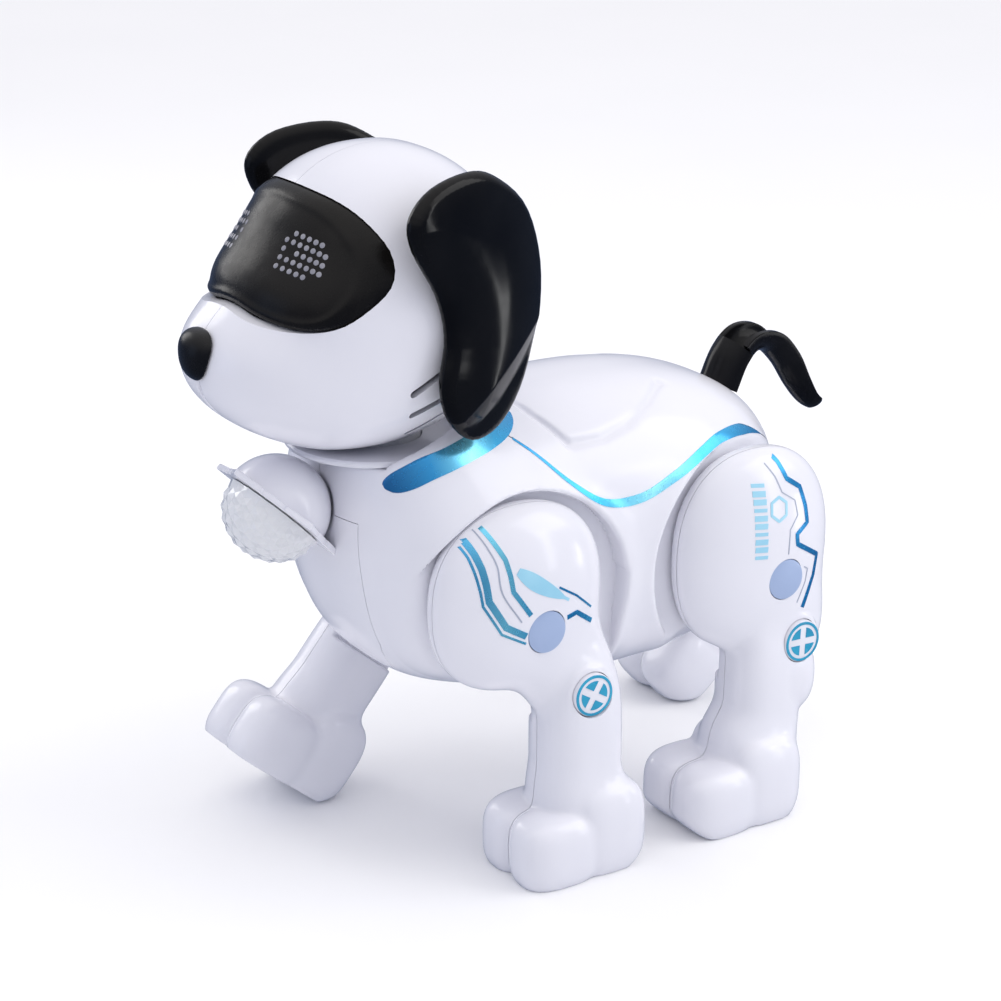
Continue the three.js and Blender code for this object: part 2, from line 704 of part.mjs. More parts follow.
function addBody() {
  const wall = bodyWall();
  const tailHole = cylinderZ(4.4, [120, 170], TAIL_ROOT.forward, 16);
  const tailClear = solid(new THREE.BoxGeometry(19, 18, 12).rotateX(0.45).translate(0, yOf(-91), 147.5));
  const cover = wall.intersect(coverRegion()).subtract(tailHole).subtract(tailClear);
  const sides = wall
    .intersect(sideRegion())
    .subtract(chestRegion(GAP))
    .subtract(bellyRegion(GAP))
    .subtract(switchSlot());
  addPair("body_shell", sides.intersect(leftHalf), WHITE);
  addSolid("back_cover", cover, WHITE);
  addPair("trim_stripe", wall.intersect(trimRegion()), FOIL);
  addSolid("chest_panel", wall.intersect(chestRegion()).intersect(sideRegion()), WHITE);
  const socketHole = cylinderZ(SOCKET.radius + GAP, [40, 80], SOCKET.forward, 16);
  addSolid("battery_cover", wall.intersect(bellyRegion()).subtract(socketHole), WHITE);
  addSolid("charge_socket", cylinderZ(SOCKET.radius, [57.6, 68], SOCKET.forward, 16), BLACK);
  addSolid("power_switch", powerSwitch(), BLACK);
  addSolid("neck_ring", neckRing(), WHITE);
}

function addLampAndTail() {
  addSolid("lamp_housing", lampHousing(), WHITE);
  addSolid("lamp_lens", lampLens(), CLEAR);
  addSolid("lamp_board", lampBoard(), BOARD);
  addSolid("tail", tail(), RUBBER);
}

function addElectronics() {
  addSolid("main_board", box([-22, 22], [-70, -10], [132, 133.6]), BOARD);
  addSolid("battery_pack", box([-16, 16], [-42, -4], [64, 79]), CELL);
  addSolid("speaker", speaker(), CONE);
}

function addHead() {
  const wall = headWall();
  addPair("head_shell", wall.subtract(visorRegion(GAP)).intersect(leftHalf), WHITE);
  addSolid("face_visor", wall.intersect(visorRegion()), VISOR);
  addSolid("eye_board", box([-22, 22], [70, 71.6], [205, 222]), BOARD);
  addSolid("nose", nose(), BLACK);
  addPair("ear", ear(), BLACK);
  addSolid("neck_post", neckPost(), NYLON);
}

function addLeg(leg, label, side, swingDegrees) {
  const hip = new THREE.Group();
  hip.position.set(0, yOf(leg.hip[0]), leg.hip[1]);
  hip.rotation.x = THREE.MathUtils.degToRad(-swingDegrees);
  dog.add(hip);
  for (const [name, [piece, material]] of Object.entries(legParts(leg))) {
    const geometry = inHipFrame(piece);
    addMesh(hip, `${name}_${label}`, side > 0 ? geometry : mirrored(geometry), material);
  }
}

function addDrive(leg, label, side, swingDegrees) {
  const forward = leg.hip[0] + leg.pinionSide * GEAR_CENTRES;
  const shaft = new THREE.Group();
  shaft.position.set(0, yOf(forward), leg.hip[1]);
  shaft.rotation.x = THREE.MathUtils.degToRad((swingDegrees * GEAR.teeth) / GEAR.pinionTeeth);
  dog.add(shaft);
  const geometry = inHipFrame(pinion());
  addMesh(shaft, `pinion_${label}`, side > 0 ? geometry : mirrored(geometry), NYLON);
  const can = geometryOf(motor(leg));
  addMesh(dog, `hip_motor_${label}`, side > 0 ? can : mirrored(can), STEEL);
}

const LEGS = [
  [FRONT, "front_left", 1, 0],
  [FRONT, "front_right", -1, REST_SWING.frontRight],
  [REAR, "rear_left", 1, 0],
  [REAR, "rear_right", -1, REST_SWING.rearRight],
];

addBody();
addLampAndTail();
addElectronics();
addHead();
for (const leg of LEGS) {
  addLeg(...leg);
  addDrive(...leg);
}

dog.position.z = -SOLE;

export default dog;
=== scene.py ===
"""A walking robot dog toy in glossy white plastic: a turning head with a black eye visor, soft black
ears, a curled black tail, a projector lamp on the chest and four jointed legs with blue foil trim.

Shapes are drawn in millimetres as (x, forward, z): x towards the dog's left, forward towards the nose,
and z up from a datum SOLE below the ground. A leg is drawn standing straight about its hip. The body,
head, visor, nose, ears and legs are level surfaces of smooth fields, which are negative inside the
shape, and the shells are then cut apart along the moulded parting lines.
"""

import math

import bmesh
import bpy
import numpy as np
from mathutils import Matrix, Vector


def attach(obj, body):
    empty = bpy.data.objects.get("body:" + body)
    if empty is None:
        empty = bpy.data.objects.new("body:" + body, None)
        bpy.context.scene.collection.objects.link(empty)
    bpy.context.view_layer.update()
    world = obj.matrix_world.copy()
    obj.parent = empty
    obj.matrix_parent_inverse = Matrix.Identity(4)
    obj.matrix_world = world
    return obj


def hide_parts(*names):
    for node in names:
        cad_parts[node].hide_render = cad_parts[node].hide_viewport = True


# ---------------------------------------------------------------- driving dimensions, in millimetres
MIDDLE = -12.15  # forward coordinate of the row's y = 0
SOLE = 4.5  # height of the ground above the datum of z
WALL = 2.2  # thickness of the moulded shells
GAP = 0.3  # between two pieces that meet
SEAM = 0.15  # half the gap on the centre plane
FINE = 0.7  # spacing of the grid that curved pieces are sampled on

POCKET_FLOOR = 41.5  # the flat body wall that a thigh runs along
LEG_PLANE = 47.0  # x of the parting plane of a leg
LEG_INNER = 42.5  # the flat inner face of a thigh
COLLAR = {"forward": 66.8, "height": 146, "rise": 0.367}
NECK = {"forward": 47, "seat": 146.3, "post": 14, "ring": 30}
BOWL = {"centre": (0, 47, 197), "radii": (47, 47, 52.5)}
LAMP = {"forward": 84.5, "z": 130, "radius": 17.5, "flange": 3.5, "tilt": 45, "stem_z": 122}
HATCH = {"half": 20, "rear": -44, "front": 10}  # the battery cover
BELLY = (40, 72)  # from below the belly to above its wall
SOCKET = 3  # forward coordinate of the charging socket
TAIL_ROOT = -91  # forward coordinate of the tail's plug
EAR_PEG = (35, 216)  # forward and z
NOSE_STEM = (0, 184.5)  # x and z

LEGS = {
    "front": {
        "hip": (20.7, 94),
        "pocket": (21.5, 101, 38.5, 35),
        "opening": (-16, 44),
        "badge": (-18, -26),
        "ground": SOLE - 94,
        "stride": 40,
    },
    "rear": {
        "hip": (-75.4, 91),
        "pocket": (-69, 99, 40, 37.5),
        "opening": (-125, -42),
        "badge": (-7.7, -24),
        "ground": SOLE - 91,
        "stride": -41.8,
    },
}

# The line on which the back cover meets the side shells, as (forward, z) from the collar to the rump.
BACK_SEAM = [
    (46, 166), (28, 158), (14, 148), (2, 136), (-10, 127.6), (-24, 126.4), (-38, 130.6),
    (-52, 136), (-62, 138.4), (-74, 137.6), (-86, 132), (-97, 122), (-110, 104),
]

CAMERA = {"azimuth": 57, "elevation": 20, "distance": 880, "target": (0, -12.15, 111.5), "lens": 94.9}

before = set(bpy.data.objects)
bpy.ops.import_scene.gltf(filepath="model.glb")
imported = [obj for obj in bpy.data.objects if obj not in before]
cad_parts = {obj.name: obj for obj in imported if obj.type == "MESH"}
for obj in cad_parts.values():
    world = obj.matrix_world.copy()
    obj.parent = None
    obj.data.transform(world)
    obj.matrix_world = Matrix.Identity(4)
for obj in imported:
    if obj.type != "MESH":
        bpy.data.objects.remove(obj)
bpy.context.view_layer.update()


# ---------------------------------------------------------------- places
def dog_space(places):
    """Places on the dog in metres, in the row's axes."""
    return np.column_stack([places[:, 0], MIDDLE - places[:, 1], places[:, 2] - SOLE]) / 1000


def hip_space(places):
    """Places about a hip in metres, in the row's axes with the hip at the origin."""
    return np.column_stack([places[:, 0], -places[:, 1], places[:, 2]]) / 1000


def place(x, forward, z):
    return Vector((x, MIDDLE - forward, z - SOLE)) / 1000


# ---------------------------------------------------------------- fields
def ellipsoid(p, centre, radii, plan=2.0, side=2.0):
    a, b, c = (np.abs((p[:, i] - centre[i]) / radii[i]) for i in range(3))
    flat = (a**plan + b**plan) ** (side / plan)
    return ((flat + c**side) ** (1 / side) - 1) * min(radii)


def join(a, b, blend):
    """The union of two shapes, with a fillet where they meet."""
    h = np.clip(0.5 + 0.5 * (b - a) / blend, 0, 1)
    return b + (a - b) * h - blend * h * (1 - h)


def meet(a, b, blend):
    """What two shapes share, with its edge rounded."""
    return -join(-a, -b, blend)


def without(a, b, blend):
    return meet(a, -b, blend)


def line_distance(p, points):
    """Distance from places to a line of straight runs, drawn on the left and repeated on the right."""
    q = np.column_stack([np.abs(p[:, 0]), p[:, 1], p[:, 2]])
    nearest = np.full(len(q), 1e9)
    for start, end in zip(points, points[1:]):
        a = np.array(start, float)
        run = np.array(end, float) - a
        share = np.clip((q - a) @ run / (run @ run), 0, 1)
        nearest = np.minimum(nearest, np.linalg.norm(q - a - share[:, None] * run, axis=1))
    return nearest


def groove(p, points, width, depth):
    """How far a groove along a line lowers the surface at each place; a negative depth is a ridge."""
    return depth * np.exp(-((line_distance(p, points) / width) ** 2))


def in_layers(p, shape, detail, reach=5.0):
    """A shape's field, with detail added only near its surface."""
    value = shape(p)
    near = np.abs(value) < reach
    value[near] += detail(p[near])
    return value


# ---------------------------------------------------------------- meshes
def smooth(mesh, angle=38):
    mesh.shade_smooth()
    mesh.set_sharp_from_angle(angle=math.radians(angle))


def put(name, data):
    """A new object in the scene for a mesh, light or camera."""
    thing = bpy.data.objects.new(name, data)
    bpy.context.scene.collection.objects.link(thing)
    return thing


def new_piece(name, places, faces, space=dog_space, angle=38):
    """A mesh object from millimetre places; the change of axes mirrors it, so its faces are turned round."""
    mesh = bpy.data.meshes.new(name)
    mesh.from_pydata(space(np.asarray(places, float)).tolist(), [], [list(f)[::-1] for f in faces])
    smooth(mesh, angle)
    return put(name, mesh)


def grid_crossings(value, cells):
    """The mean place, in grid steps, at which the edges of each mixed cell cross the surface."""
    corners = [(i, j, k) for i in (0, 1) for j in (0, 1) for k in (0, 1)]
    at_corner = {c: value[cells[:, 0] + c[0], cells[:, 1] + c[1], cells[:, 2] + c[2]] for c in corners}
    total = np.zeros((len(cells), 3))
    count = np.zeros(len(cells))
    for first in corners:
        for axis in range(3):
            if first[axis]:
                continue
            second = tuple(c + (1 if a == axis else 0) for a, c in enumerate(first))
            low, high = at_corner[first], at_corner[second]
            crossed = (low < 0) != (high < 0)
            share = np.where(crossed, low / np.where(crossed, low - high, 1), 0)
            offset = np.tile(np.array(first, float), (len(cells), 1))
            offset[:, axis] += share
            total += offset * crossed[:, None]
            count += crossed
    return cells + total / count[:, None]


def grid_faces(inside, number):
    """One quad for each grid edge that crosses the surface, facing out."""
    faces = []
    for axis in range(3):
        second, third = (axis + 1) % 3, (axis + 2) % 3
        low = np.moveaxis(inside, (axis, second, third), (0, 1, 2))
        cell = np.moveaxis(number, (axis, second, third), (0, 1, 2))
        leaving = low[:-1, 1:-1, 1:-1] != low[1:, 1:-1, 1:-1]
        i, j, k = np.nonzero(leaving)
        quad = np.column_stack([cell[i, j, k], cell[i, j + 1, k], cell[i, j + 1, k + 1], cell[i, j, k + 1]])
        outward = low[i, j + 1, k + 1]
        quad[~outward] = quad[~outward][:, ::-1]
        faces.append(quad)
    return np.concatenate(faces)


def grid_values(field, low, high, step, block=4, reach=5.0):
    """A field on a grid: a block of points shares one value, but each point near the surface has its own."""
    blocks = [math.ceil((b - a) / (step * block)) for a, b in zip(low, high)]
    middle = (block - 1) / 2
    coarse_axes = [a + (np.arange(n) * block + middle) * step for a, n in zip(low, blocks)]
    coarse = field(np.stack(np.meshgrid(*coarse_axes, indexing="ij"), -1).reshape(-1, 3)).reshape(blocks)
    value = coarse.repeat(block, 0).repeat(block, 1).repeat(block, 2)
    near = np.argwhere(np.abs(value) < reach)
    value[near[:, 0], near[:, 1], near[:, 2]] = field(np.array(low, float) + near * step)
    return value


def surface(field, low, high, step=FINE, hidden=False):
    """Places and quads of a field's zero surface inside a box. A hidden surface is left a little rougher."""
    value = grid_values(field, low, high, step)
    inside = value < 0
    a, b, c = (n - 1 for n in inside.shape)
    count = sum(
        inside[i : a + i, j : b + j, k : c + k].astype(int)
        for i in (0, 1) for j in (0, 1) for k in (0, 1)
    )
    cells = np.argwhere((count > 0) & (count < 8))
    number = np.full(count.shape, -1)
    number[cells[:, 0], cells[:, 1], cells[:, 2]] = np.arange(len(cells))
    places = np.array(low, float) + grid_crossings(value, cells) * step
    if not hidden:
        places = settle(field, places, step)
    return places, grid_faces(inside, number)


def gradient(field, places, reach=0.05):
    slopes = []
    for axis in range(3):
        shift = np.zeros(3)
        shift[axis] = reach
        slopes.append((field(places + shift) - field(places - shift)) / (2 * reach))
    return np.column_stack(slopes)


def settle(field, places, step):
    """Places moved onto a field's zero surface."""
    for _ in range(3):
        slope = gradient(field, places)
        move = -slope * (field(places) / np.maximum((slope**2).sum(1), 1e-4))[:, None]
        length = np.linalg.norm(move, axis=1)
        places = places + move * np.minimum(1, 0.4 * step / np.maximum(length, 1e-9))[:, None]
    return places


def copy_of(piece, name):
    copy = piece.copy()
    copy.data = piece.data.copy()
    copy.name = name
    bpy.context.scene.collection.objects.link(copy)
    return copy


def discard(*pieces):
    for piece in pieces:
        mesh = piece.data
        bpy.data.objects.remove(piece)
        bpy.data.meshes.remove(mesh)


def cut(piece, tool, how="DIFFERENCE"):
    """Joins (UNION), cuts (DIFFERENCE) or trims (INTERSECT) a piece with a tool, which is used up."""
    modifier = piece.modifiers.new("cut", "BOOLEAN")
    modifier.solver = "MANIFOLD"
    modifier.operation = how
    modifier.object = tool
    graph = bpy.context.evaluated_depsgraph_get()
    mesh = bpy.data.meshes.new_from_object(piece.evaluated_get(graph))
    piece.modifiers.clear()
    old = piece.data
    piece.data = mesh
    bpy.data.meshes.remove(old)
    smooth(mesh)
    discard(tool)
    return piece


def loft(name, sections, closed=False, space=dog_space, angle=38):
    """A closed tube through equal rings of places."""
    rings = np.array(sections, float)
    count, around = rings.shape[:2]
    faces = []
    for i in range(count if closed else count - 1):
        following = (i + 1) % count
        for j in range(around):
            k = (j + 1) % around
            faces.append((i * around + j, i * around + k, following * around + k, following * around + j))
    if not closed:
        faces.append(tuple(range(around))[::-1])
        faces.append(tuple((count - 1) * around + j for j in range(around)))
    piece = new_piece(name, rings.reshape(-1, 3), faces, space, angle)
    outward(piece)
    return piece


def outward(piece, triangles=False):
    """Turns every face of a closed mesh outwards, and splits them into triangles if asked to."""
    work = bmesh.new()
    work.from_mesh(piece.data)
    if triangles:
        bmesh.ops.triangulate(work, faces=work.faces)
    bmesh.ops.recalc_face_normals(work, faces=work.faces)
    work.to_mesh(piece.data)
    work.free()


def lathe(name, profile, to_place, steps=96, space=dog_space):
    """A turned solid. Its profile, as (radius, height), runs from axis to axis or round a closed section,
    and to_place turns (u, v, height) about the axis into a place."""
    turns = np.arange(steps) / steps * 2 * math.pi
    on_axis = profile[0][0] == 0 and profile[-1][0] == 0
    rings = profile[1:-1] if on_axis else profile
    places = [to_place(r * math.cos(t), r * math.sin(t), h) for r, h in rings for t in turns]
    faces = []
    pairs = list(zip(range(len(rings)), range(1, len(rings)))) + ([] if on_axis else [(len(rings) - 1, 0)])
    for low, high in pairs:
        for i in range(steps):
            j = (i + 1) % steps
            faces.append((low * steps + i, low * steps + j, high * steps + j, high * steps + i))
    if on_axis:
        first, last = len(places), len(places) + 1
        places += [to_place(0, 0, profile[0][1]), to_place(0, 0, profile[-1][1])]
        top = (len(rings) - 1) * steps
        for i in range(steps):
            j = (i + 1) % steps
            faces.append((first, j, i))
            faces.append((last, top + i, top + j))
    piece = new_piece(name, places, faces, space, angle=30)
    outward(piece)
    return piece


def prism(name, outline, low, high, axis, space=dog_space):
    """An outline extruded along x (axis 0, drawn in forward and z) or along the dog (axis 1, in x and z)."""
    places = []
    for end in (low, high):
        for a, b in outline:
            places.append((end, a, b) if axis == 0 else (a, end, b))
    count = len(outline)
    faces = [tuple(range(count)), tuple(range(count, 2 * count))[::-1]]
    for i in range(count):
        j = (i + 1) % count
        faces.append((i, i + count, j + count, j))
    piece = new_piece(name, places, faces, space)
    outward(piece, triangles=True)
    return piece


def box(name, xs, forwards, zs, space=dog_space):
    outline = [(forwards[0], zs[0]), (forwards[1], zs[0]), (forwards[1], zs[1]), (forwards[0], zs[1])]
    return prism(name, outline, xs[0], xs[1], 0, space)


def rod(name, radius, start, end, axis, centre, space=dog_space, steps=48):
    """A round tool along x (0), the dog (1) or z (2); centre is the two other coordinates in order."""
    def to_place(u, v, h):
        if axis == 0:
            return (h, centre[0] + u, centre[1] + v)
        if axis == 1:
            return (centre[0] + u, h, centre[1] + v)
        return (centre[0] + u, centre[1] + v, h)

    return lathe(name, [(0, start), (radius, start), (radius, end), (0, end)], to_place, steps, space)


def curve(points, count, closed=False):
    """Evenly numbered places on a smooth line through points."""
    pts = np.array(points, float)
    n = len(pts)
    spans = n if closed else n - 1
    out = []
    for s in np.linspace(0, spans, count, endpoint=not closed):
        i = min(int(s), spans - 1)
        t = s - i
        if closed:
            a, b, c, d = pts[(i - 1) % n], pts[i % n], pts[(i + 1) % n], pts[(i + 2) % n]
        else:
            b, c = pts[i], pts[i + 1]
            a = pts[i - 1] if i > 0 else 2 * b - c
            d = pts[i + 2] if i + 2 < n else 2 * c - b
        square = 2 * a - 5 * b + 4 * c - d
        cube = 3 * b - a - 3 * c + d
        out.append(0.5 * (2 * b + (c - a) * t + square * t**2 + cube * t**3))
    return np.array(out)


def headings(line, closed=False):
    """The unit direction in which a plane line runs at each of its places."""
    ahead = np.roll(line, -1, axis=0) - np.roll(line, 1, axis=0) if closed else np.gradient(line, axis=0)
    return ahead / np.linalg.norm(ahead, axis=1)[:, None]


def side_reach(field, flats, start=15.0, end=80.0):
    """The x at which a field's left side passes over each (forward, z)."""
    near = np.full(len(flats), start)
    far = np.full(len(flats), end)
    for _ in range(26):
        middle = (near + far) / 2
        inside = field(np.column_stack([middle, flats])) < 0
        near = np.where(inside, middle, near)
        far = np.where(inside, far, middle)
    return near


def ribbon(name, field, line, half_width, rise=0.14, sink=0.5, closed=False, space=dog_space, across=5):
    """A thin strip laid on the left side of a field's surface along a (forward, z) line. It stands rise
    above the surface and reaches sink below it. half_width is a number, or a function of the share of
    the way along."""
    centre = np.array(line, float)
    ahead = headings(centre, closed)
    beside = np.column_stack([-ahead[:, 1], ahead[:, 0]])
    shares = np.linspace(0, 1, len(centre))
    width = np.array([half_width(s) if callable(half_width) else half_width for s in shares])
    top, bottom = [], []
    for offset in np.linspace(-1, 1, across):
        flats = centre + beside * (width * offset)[:, None]
        x = side_reach(field, flats)
        top.append(np.column_stack([x + rise, flats]))
        bottom.append(np.column_stack([x - sink, flats]))
    rings = np.stack(top + bottom[::-1], axis=1)
    return loft(name, rings, closed, space, angle=50)


def runs(points, spacing=0.7):
    """A line of straight runs as evenly spaced places, its corners kept."""
    pts = np.array(points, float)
    out = []
    for a, b in zip(pts, pts[1:]):
        count = max(1, int(np.linalg.norm(b - a) / spacing))
        out += [a + (b - a) * i / count for i in range(count)]
    return np.array(out + [pts[-1]])


# ---------------------------------------------------------------- materials
def shader(name, color, roughness, metallic=0.0, coat=0.0, specular=0.5):
    """A material with its principled shader's plain values set; its detail is linked in afterwards."""
    material = bpy.data.materials.new(name)
    material.use_nodes = True
    principled = material.node_tree.nodes["Principled BSDF"]
    principled.inputs["Base Color"].default_value = (*color, 1)
    principled.inputs["Roughness"].default_value = roughness
    principled.inputs["Metallic"].default_value = metallic
    principled.inputs["Coat Weight"].default_value = coat
    principled.inputs["Coat Roughness"].default_value = 0.06
    principled.inputs["Specular IOR Level"].default_value = specular
    return material, principled


def noise(material, scale):
    """Noise over the object's own places; scale is features per metre."""
    nodes, links = material.node_tree.nodes, material.node_tree.links
    where = nodes.new("ShaderNodeTexCoord")
    texture = nodes.new("ShaderNodeTexNoise")
    texture.inputs["Scale"].default_value = scale
    texture.inputs["Detail"].default_value = 3.0
    links.new(where.outputs["Object"], texture.inputs["Vector"])
    return texture.outputs["Fac"]


def spread(material, source, low, high):
    """Noise, which mostly runs from 0.3 to 0.7, stretched to run from low to high."""
    stretch = material.node_tree.nodes.new("ShaderNodeMapRange")
    stretch.inputs["From Min"].default_value = 0.3
    stretch.inputs["From Max"].default_value = 0.7
    stretch.inputs["To Min"].default_value = low
    stretch.inputs["To Max"].default_value = high
    material.node_tree.links.new(source, stretch.inputs["Value"])
    return stretch.outputs["Result"]


def uneven_gloss(material, principled, scale, low, high):
    """Roughness that wanders between two values, with scale features per metre."""
    rough = spread(material, noise(material, scale), low, high)
    material.node_tree.links.new(rough, principled.inputs["Roughness"])


def bumps(material, principled, source, depth, strength):
    """Relief of the given depth in metres."""
    bump = material.node_tree.nodes.new("ShaderNodeBump")
    bump.inputs["Distance"].default_value = depth
    bump.inputs["Strength"].default_value = strength
    material.node_tree.links.new(source, bump.inputs["Height"])
    material.node_tree.links.new(bump.outputs["Normal"], principled.inputs["Normal"])


def tint(material, principled, source, low, high):
    """The base colour mixed between two colours."""
    ramp = material.node_tree.nodes.new("ShaderNodeValToRGB")
    ramp.color_ramp.elements[0].position = 0.35
    ramp.color_ramp.elements[0].color = (*low, 1)
    ramp.color_ramp.elements[1].position = 0.65
    ramp.color_ramp.elements[1].color = (*high, 1)
    material.node_tree.links.new(source, ramp.inputs["Fac"])
    material.node_tree.links.new(ramp.outputs["Color"], principled.inputs["Base Color"])


def plastic(name, low, high, roughness, strength=0.25, coat=0.0, specular=0.5):
    """Moulded plastic: faint mottling between two colours, uneven gloss, and a fine grain."""
    material, principled = shader(name, high, roughness[0], coat=coat, specular=specular)
    tint(material, principled, noise(material, 45), low, high)
    uneven_gloss(material, principled, 160, *roughness)
    bumps(material, principled, noise(material, 2600), 0.00002, strength)
    return material


FOIL_REFLECTION_COLOURS = [  # forward coordinate in millimetres, and the foil's colour there: real blue foil with painted reflections, the cyan bands being painted highlights
    (62, (0.01, 0.14, 0.36)), (50, (0.02, 0.28, 0.60)), (36, (0.22, 0.72, 0.90)), (24, (0.03, 0.40, 0.72)),
    (10, (0.02, 0.27, 0.58)), (-8, (0.06, 0.55, 0.84)), (-28, (0.32, 0.84, 0.96)), (-50, (0.05, 0.46, 0.80)),
    (-90, (0.015, 0.24, 0.56)),
]


def foil_material():
    """Blue foil with painted reflections: its base colour turns from navy to cyan and back along the dog as
    painted highlights, with a fine shimmer.
    """
    material, principled = shader("blue_foil", (0.05, 0.4, 0.75), 0.24, metallic=0.6, coat=0.2)
    nodes, links = material.node_tree.nodes, material.node_tree.links
    where = nodes.new("ShaderNodeTexCoord")
    axes = nodes.new("ShaderNodeSeparateXYZ")
    links.new(where.outputs["Object"], axes.inputs["Vector"])
    front, back = (MIDDLE - FOIL_REFLECTION_COLOURS[i][0] for i in (0, -1))
    along = nodes.new("ShaderNodeMapRange")
    along.inputs["From Min"].default_value = front / 1000
    along.inputs["From Max"].default_value = back / 1000
    links.new(axes.outputs["Y"], along.inputs["Value"])
    # painted reflection: the base colour follows the forward place, lighter cyan where the foil's highlights
    # fall
    ramp = nodes.new("ShaderNodeValToRGB")
    while len(ramp.color_ramp.elements) < len(FOIL_REFLECTION_COLOURS):
        ramp.color_ramp.elements.new(0.5)
    for element, (forward, color) in zip(ramp.color_ramp.elements, FOIL_REFLECTION_COLOURS):
        element.position = (MIDDLE - forward - front) / (back - front)
        element.color = (*color, 1)
    links.new(along.outputs["Result"], ramp.inputs["Fac"])
    links.new(ramp.outputs["Color"], principled.inputs["Base Color"])
    uneven_gloss(material, principled, 400, 0.18, 0.32)
    bumps(material, principled, noise(material, 6000), 0.00001, 0.2)
    return material


def lens_material():
    """Milky clear plastic, very slightly blue, with the faint flow marks of moulding."""
    material, principled = shader("clear_lens", (0.97, 0.98, 1.0), 0.06, coat=0.5)
    principled.inputs["Transmission Weight"].default_value = 0.22
    principled.inputs["IOR"].default_value = 1.46
    uneven_gloss(material, principled, 300, 0.03, 0.12)
    bumps(material, principled, noise(material, 700), 0.00002, 0.15)
    return material


def metal_material(name, color):
    material, principled = shader(name, color, 0.35, metallic=1.0)
    uneven_gloss(material, principled, 900, 0.25, 0.45)
    bumps(material, principled, noise(material, 3500), 0.00002, 0.3)
    return material


def visor_material():
    """Black gloss over a fine pebbled grain, so that reflections on it are softened."""
    material, principled = shader("visor", (0.008, 0.007, 0.007), 0.3, specular=0.17)
    nodes, links = material.node_tree.nodes, material.node_tree.links
    where = nodes.new("ShaderNodeTexCoord")
    pebble = nodes.new("ShaderNodeTexVoronoi")
    pebble.inputs["Scale"].default_value = 1500
    links.new(where.outputs["Object"], pebble.inputs["Vector"])
    tint(material, principled, noise(material, 60), (0.005, 0.0045, 0.0042), (0.009, 0.008, 0.0075))
    uneven_gloss(material, principled, 220, 0.2, 0.32)
    bumps(material, principled, pebble.outputs["Distance"], 0.00008, 0.22)
    return material


WHITE = plastic("white_shell", (0.80, 0.80, 0.86), (0.81, 0.81, 0.87), (0.17, 0.2), strength=0.04)
LILAC = plastic("lilac_cap", (0.35, 0.45, 0.67), (0.38, 0.48, 0.70), (0.35, 0.45))
BLACK = plastic(
    "black_gloss", (0.003, 0.003, 0.0035), (0.005, 0.005, 0.0055), (0.1, 0.16), strength=0.1, specular=0.16,
)
SATIN = plastic(
    "black_satin", (0.005, 0.005, 0.006), (0.010, 0.010, 0.011), (0.24, 0.32), strength=0.2, specular=0.2,
)
RUBBER = plastic(
    "tail_rubber", (0.004, 0.004, 0.005), (0.008, 0.008, 0.009), (0.12, 0.2), strength=0.1, specular=0.13,
)
DOT = plastic("led_lens", (0.20, 0.20, 0.24), (0.34, 0.34, 0.38), (0.35, 0.5))
TEAL = plastic("badge_teal", (0.02, 0.30, 0.50), (0.03, 0.40, 0.62), (0.25, 0.38), coat=0.2)
PALE = plastic("pale_print", (0.30, 0.62, 0.80), (0.42, 0.74, 0.88), (0.3, 0.42))
GREY = plastic("grey_print", (0.36, 0.40, 0.50), (0.44, 0.48, 0.58), (0.35, 0.45))
BOARD = plastic("circuit_board", (0.01, 0.10, 0.045), (0.02, 0.15, 0.07), (0.4, 0.6))
WRAP = plastic("battery_wrap", (0.02, 0.06, 0.28), (0.03, 0.09, 0.36), (0.3, 0.45))
CONE = plastic("speaker_cone", (0.015, 0.015, 0.017), (0.03, 0.03, 0.034), (0.6, 0.8), strength=0.6)
NYLON = plastic("nylon", (0.70, 0.71, 0.74), (0.75, 0.76, 0.79), (0.4, 0.5))
VISOR = visor_material()
FOIL = foil_material()
CLEAR = lens_material()
STEEL = metal_material("motor_steel", (0.62, 0.63, 0.65))


def finish_piece(piece, material, body, slot, *nodes):
    """Gives a piece its material and body, and hides the CAD nodes it stands for. The slot argument is not
    used.
    """
    piece.data.materials.clear()
    piece.data.materials.append(material)
    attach(piece, body)
    if nodes:
        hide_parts(*nodes)
    return piece


def mirror_copy(piece, name):
    """The same piece on the other side of the centre plane."""
    copy = copy_of(piece, name)
    copy.data.transform(Matrix.Scale(-1, 4, (1, 0, 0)))
    copy.data.flip_normals()
    return copy


def pair(piece, stem, material, body, slot, nodes=()):
    """A left piece and its mirror image, as stem_left and stem_right."""
    other = mirror_copy(piece, f"{stem}_right")
    piece.name = f"{stem}_left"
    finish_piece(piece, material, body, slot, *[f"{node}_left" for node in nodes])
    finish_piece(other, material, body, slot, *[f"{node}_right" for node in nodes])


# ---------------------------------------------------------------- body
def pocket_outline(p, leg):
    """The side view of a thigh's pocket: an ellipse that opens downwards."""
    forward, height, across, up = leg["pocket"]
    low, high = leg["opening"]
    round_part = (np.hypot((p[:, 1] - forward) / across, (p[:, 2] - height) / up) - 1) * up
    open_part = np.maximum(np.maximum(low - p[:, 1], p[:, 1] - high), p[:, 2] - height)
    return join(round_part, open_part, 5)


def body_hull(p):
    barrel = ellipsoid(p, (0, -20, 107), (48, 82, 50), 2.6, 2.7)
    chest = ellipsoid(p, (0, 28, 112), (47, 37, 42), 3, 2.6)
    neck = ellipsoid(p, (0, 42, 132), (40, 26, 38), 2.2, 2.2)
    return join(join(barrel, chest, 8), neck, 12)


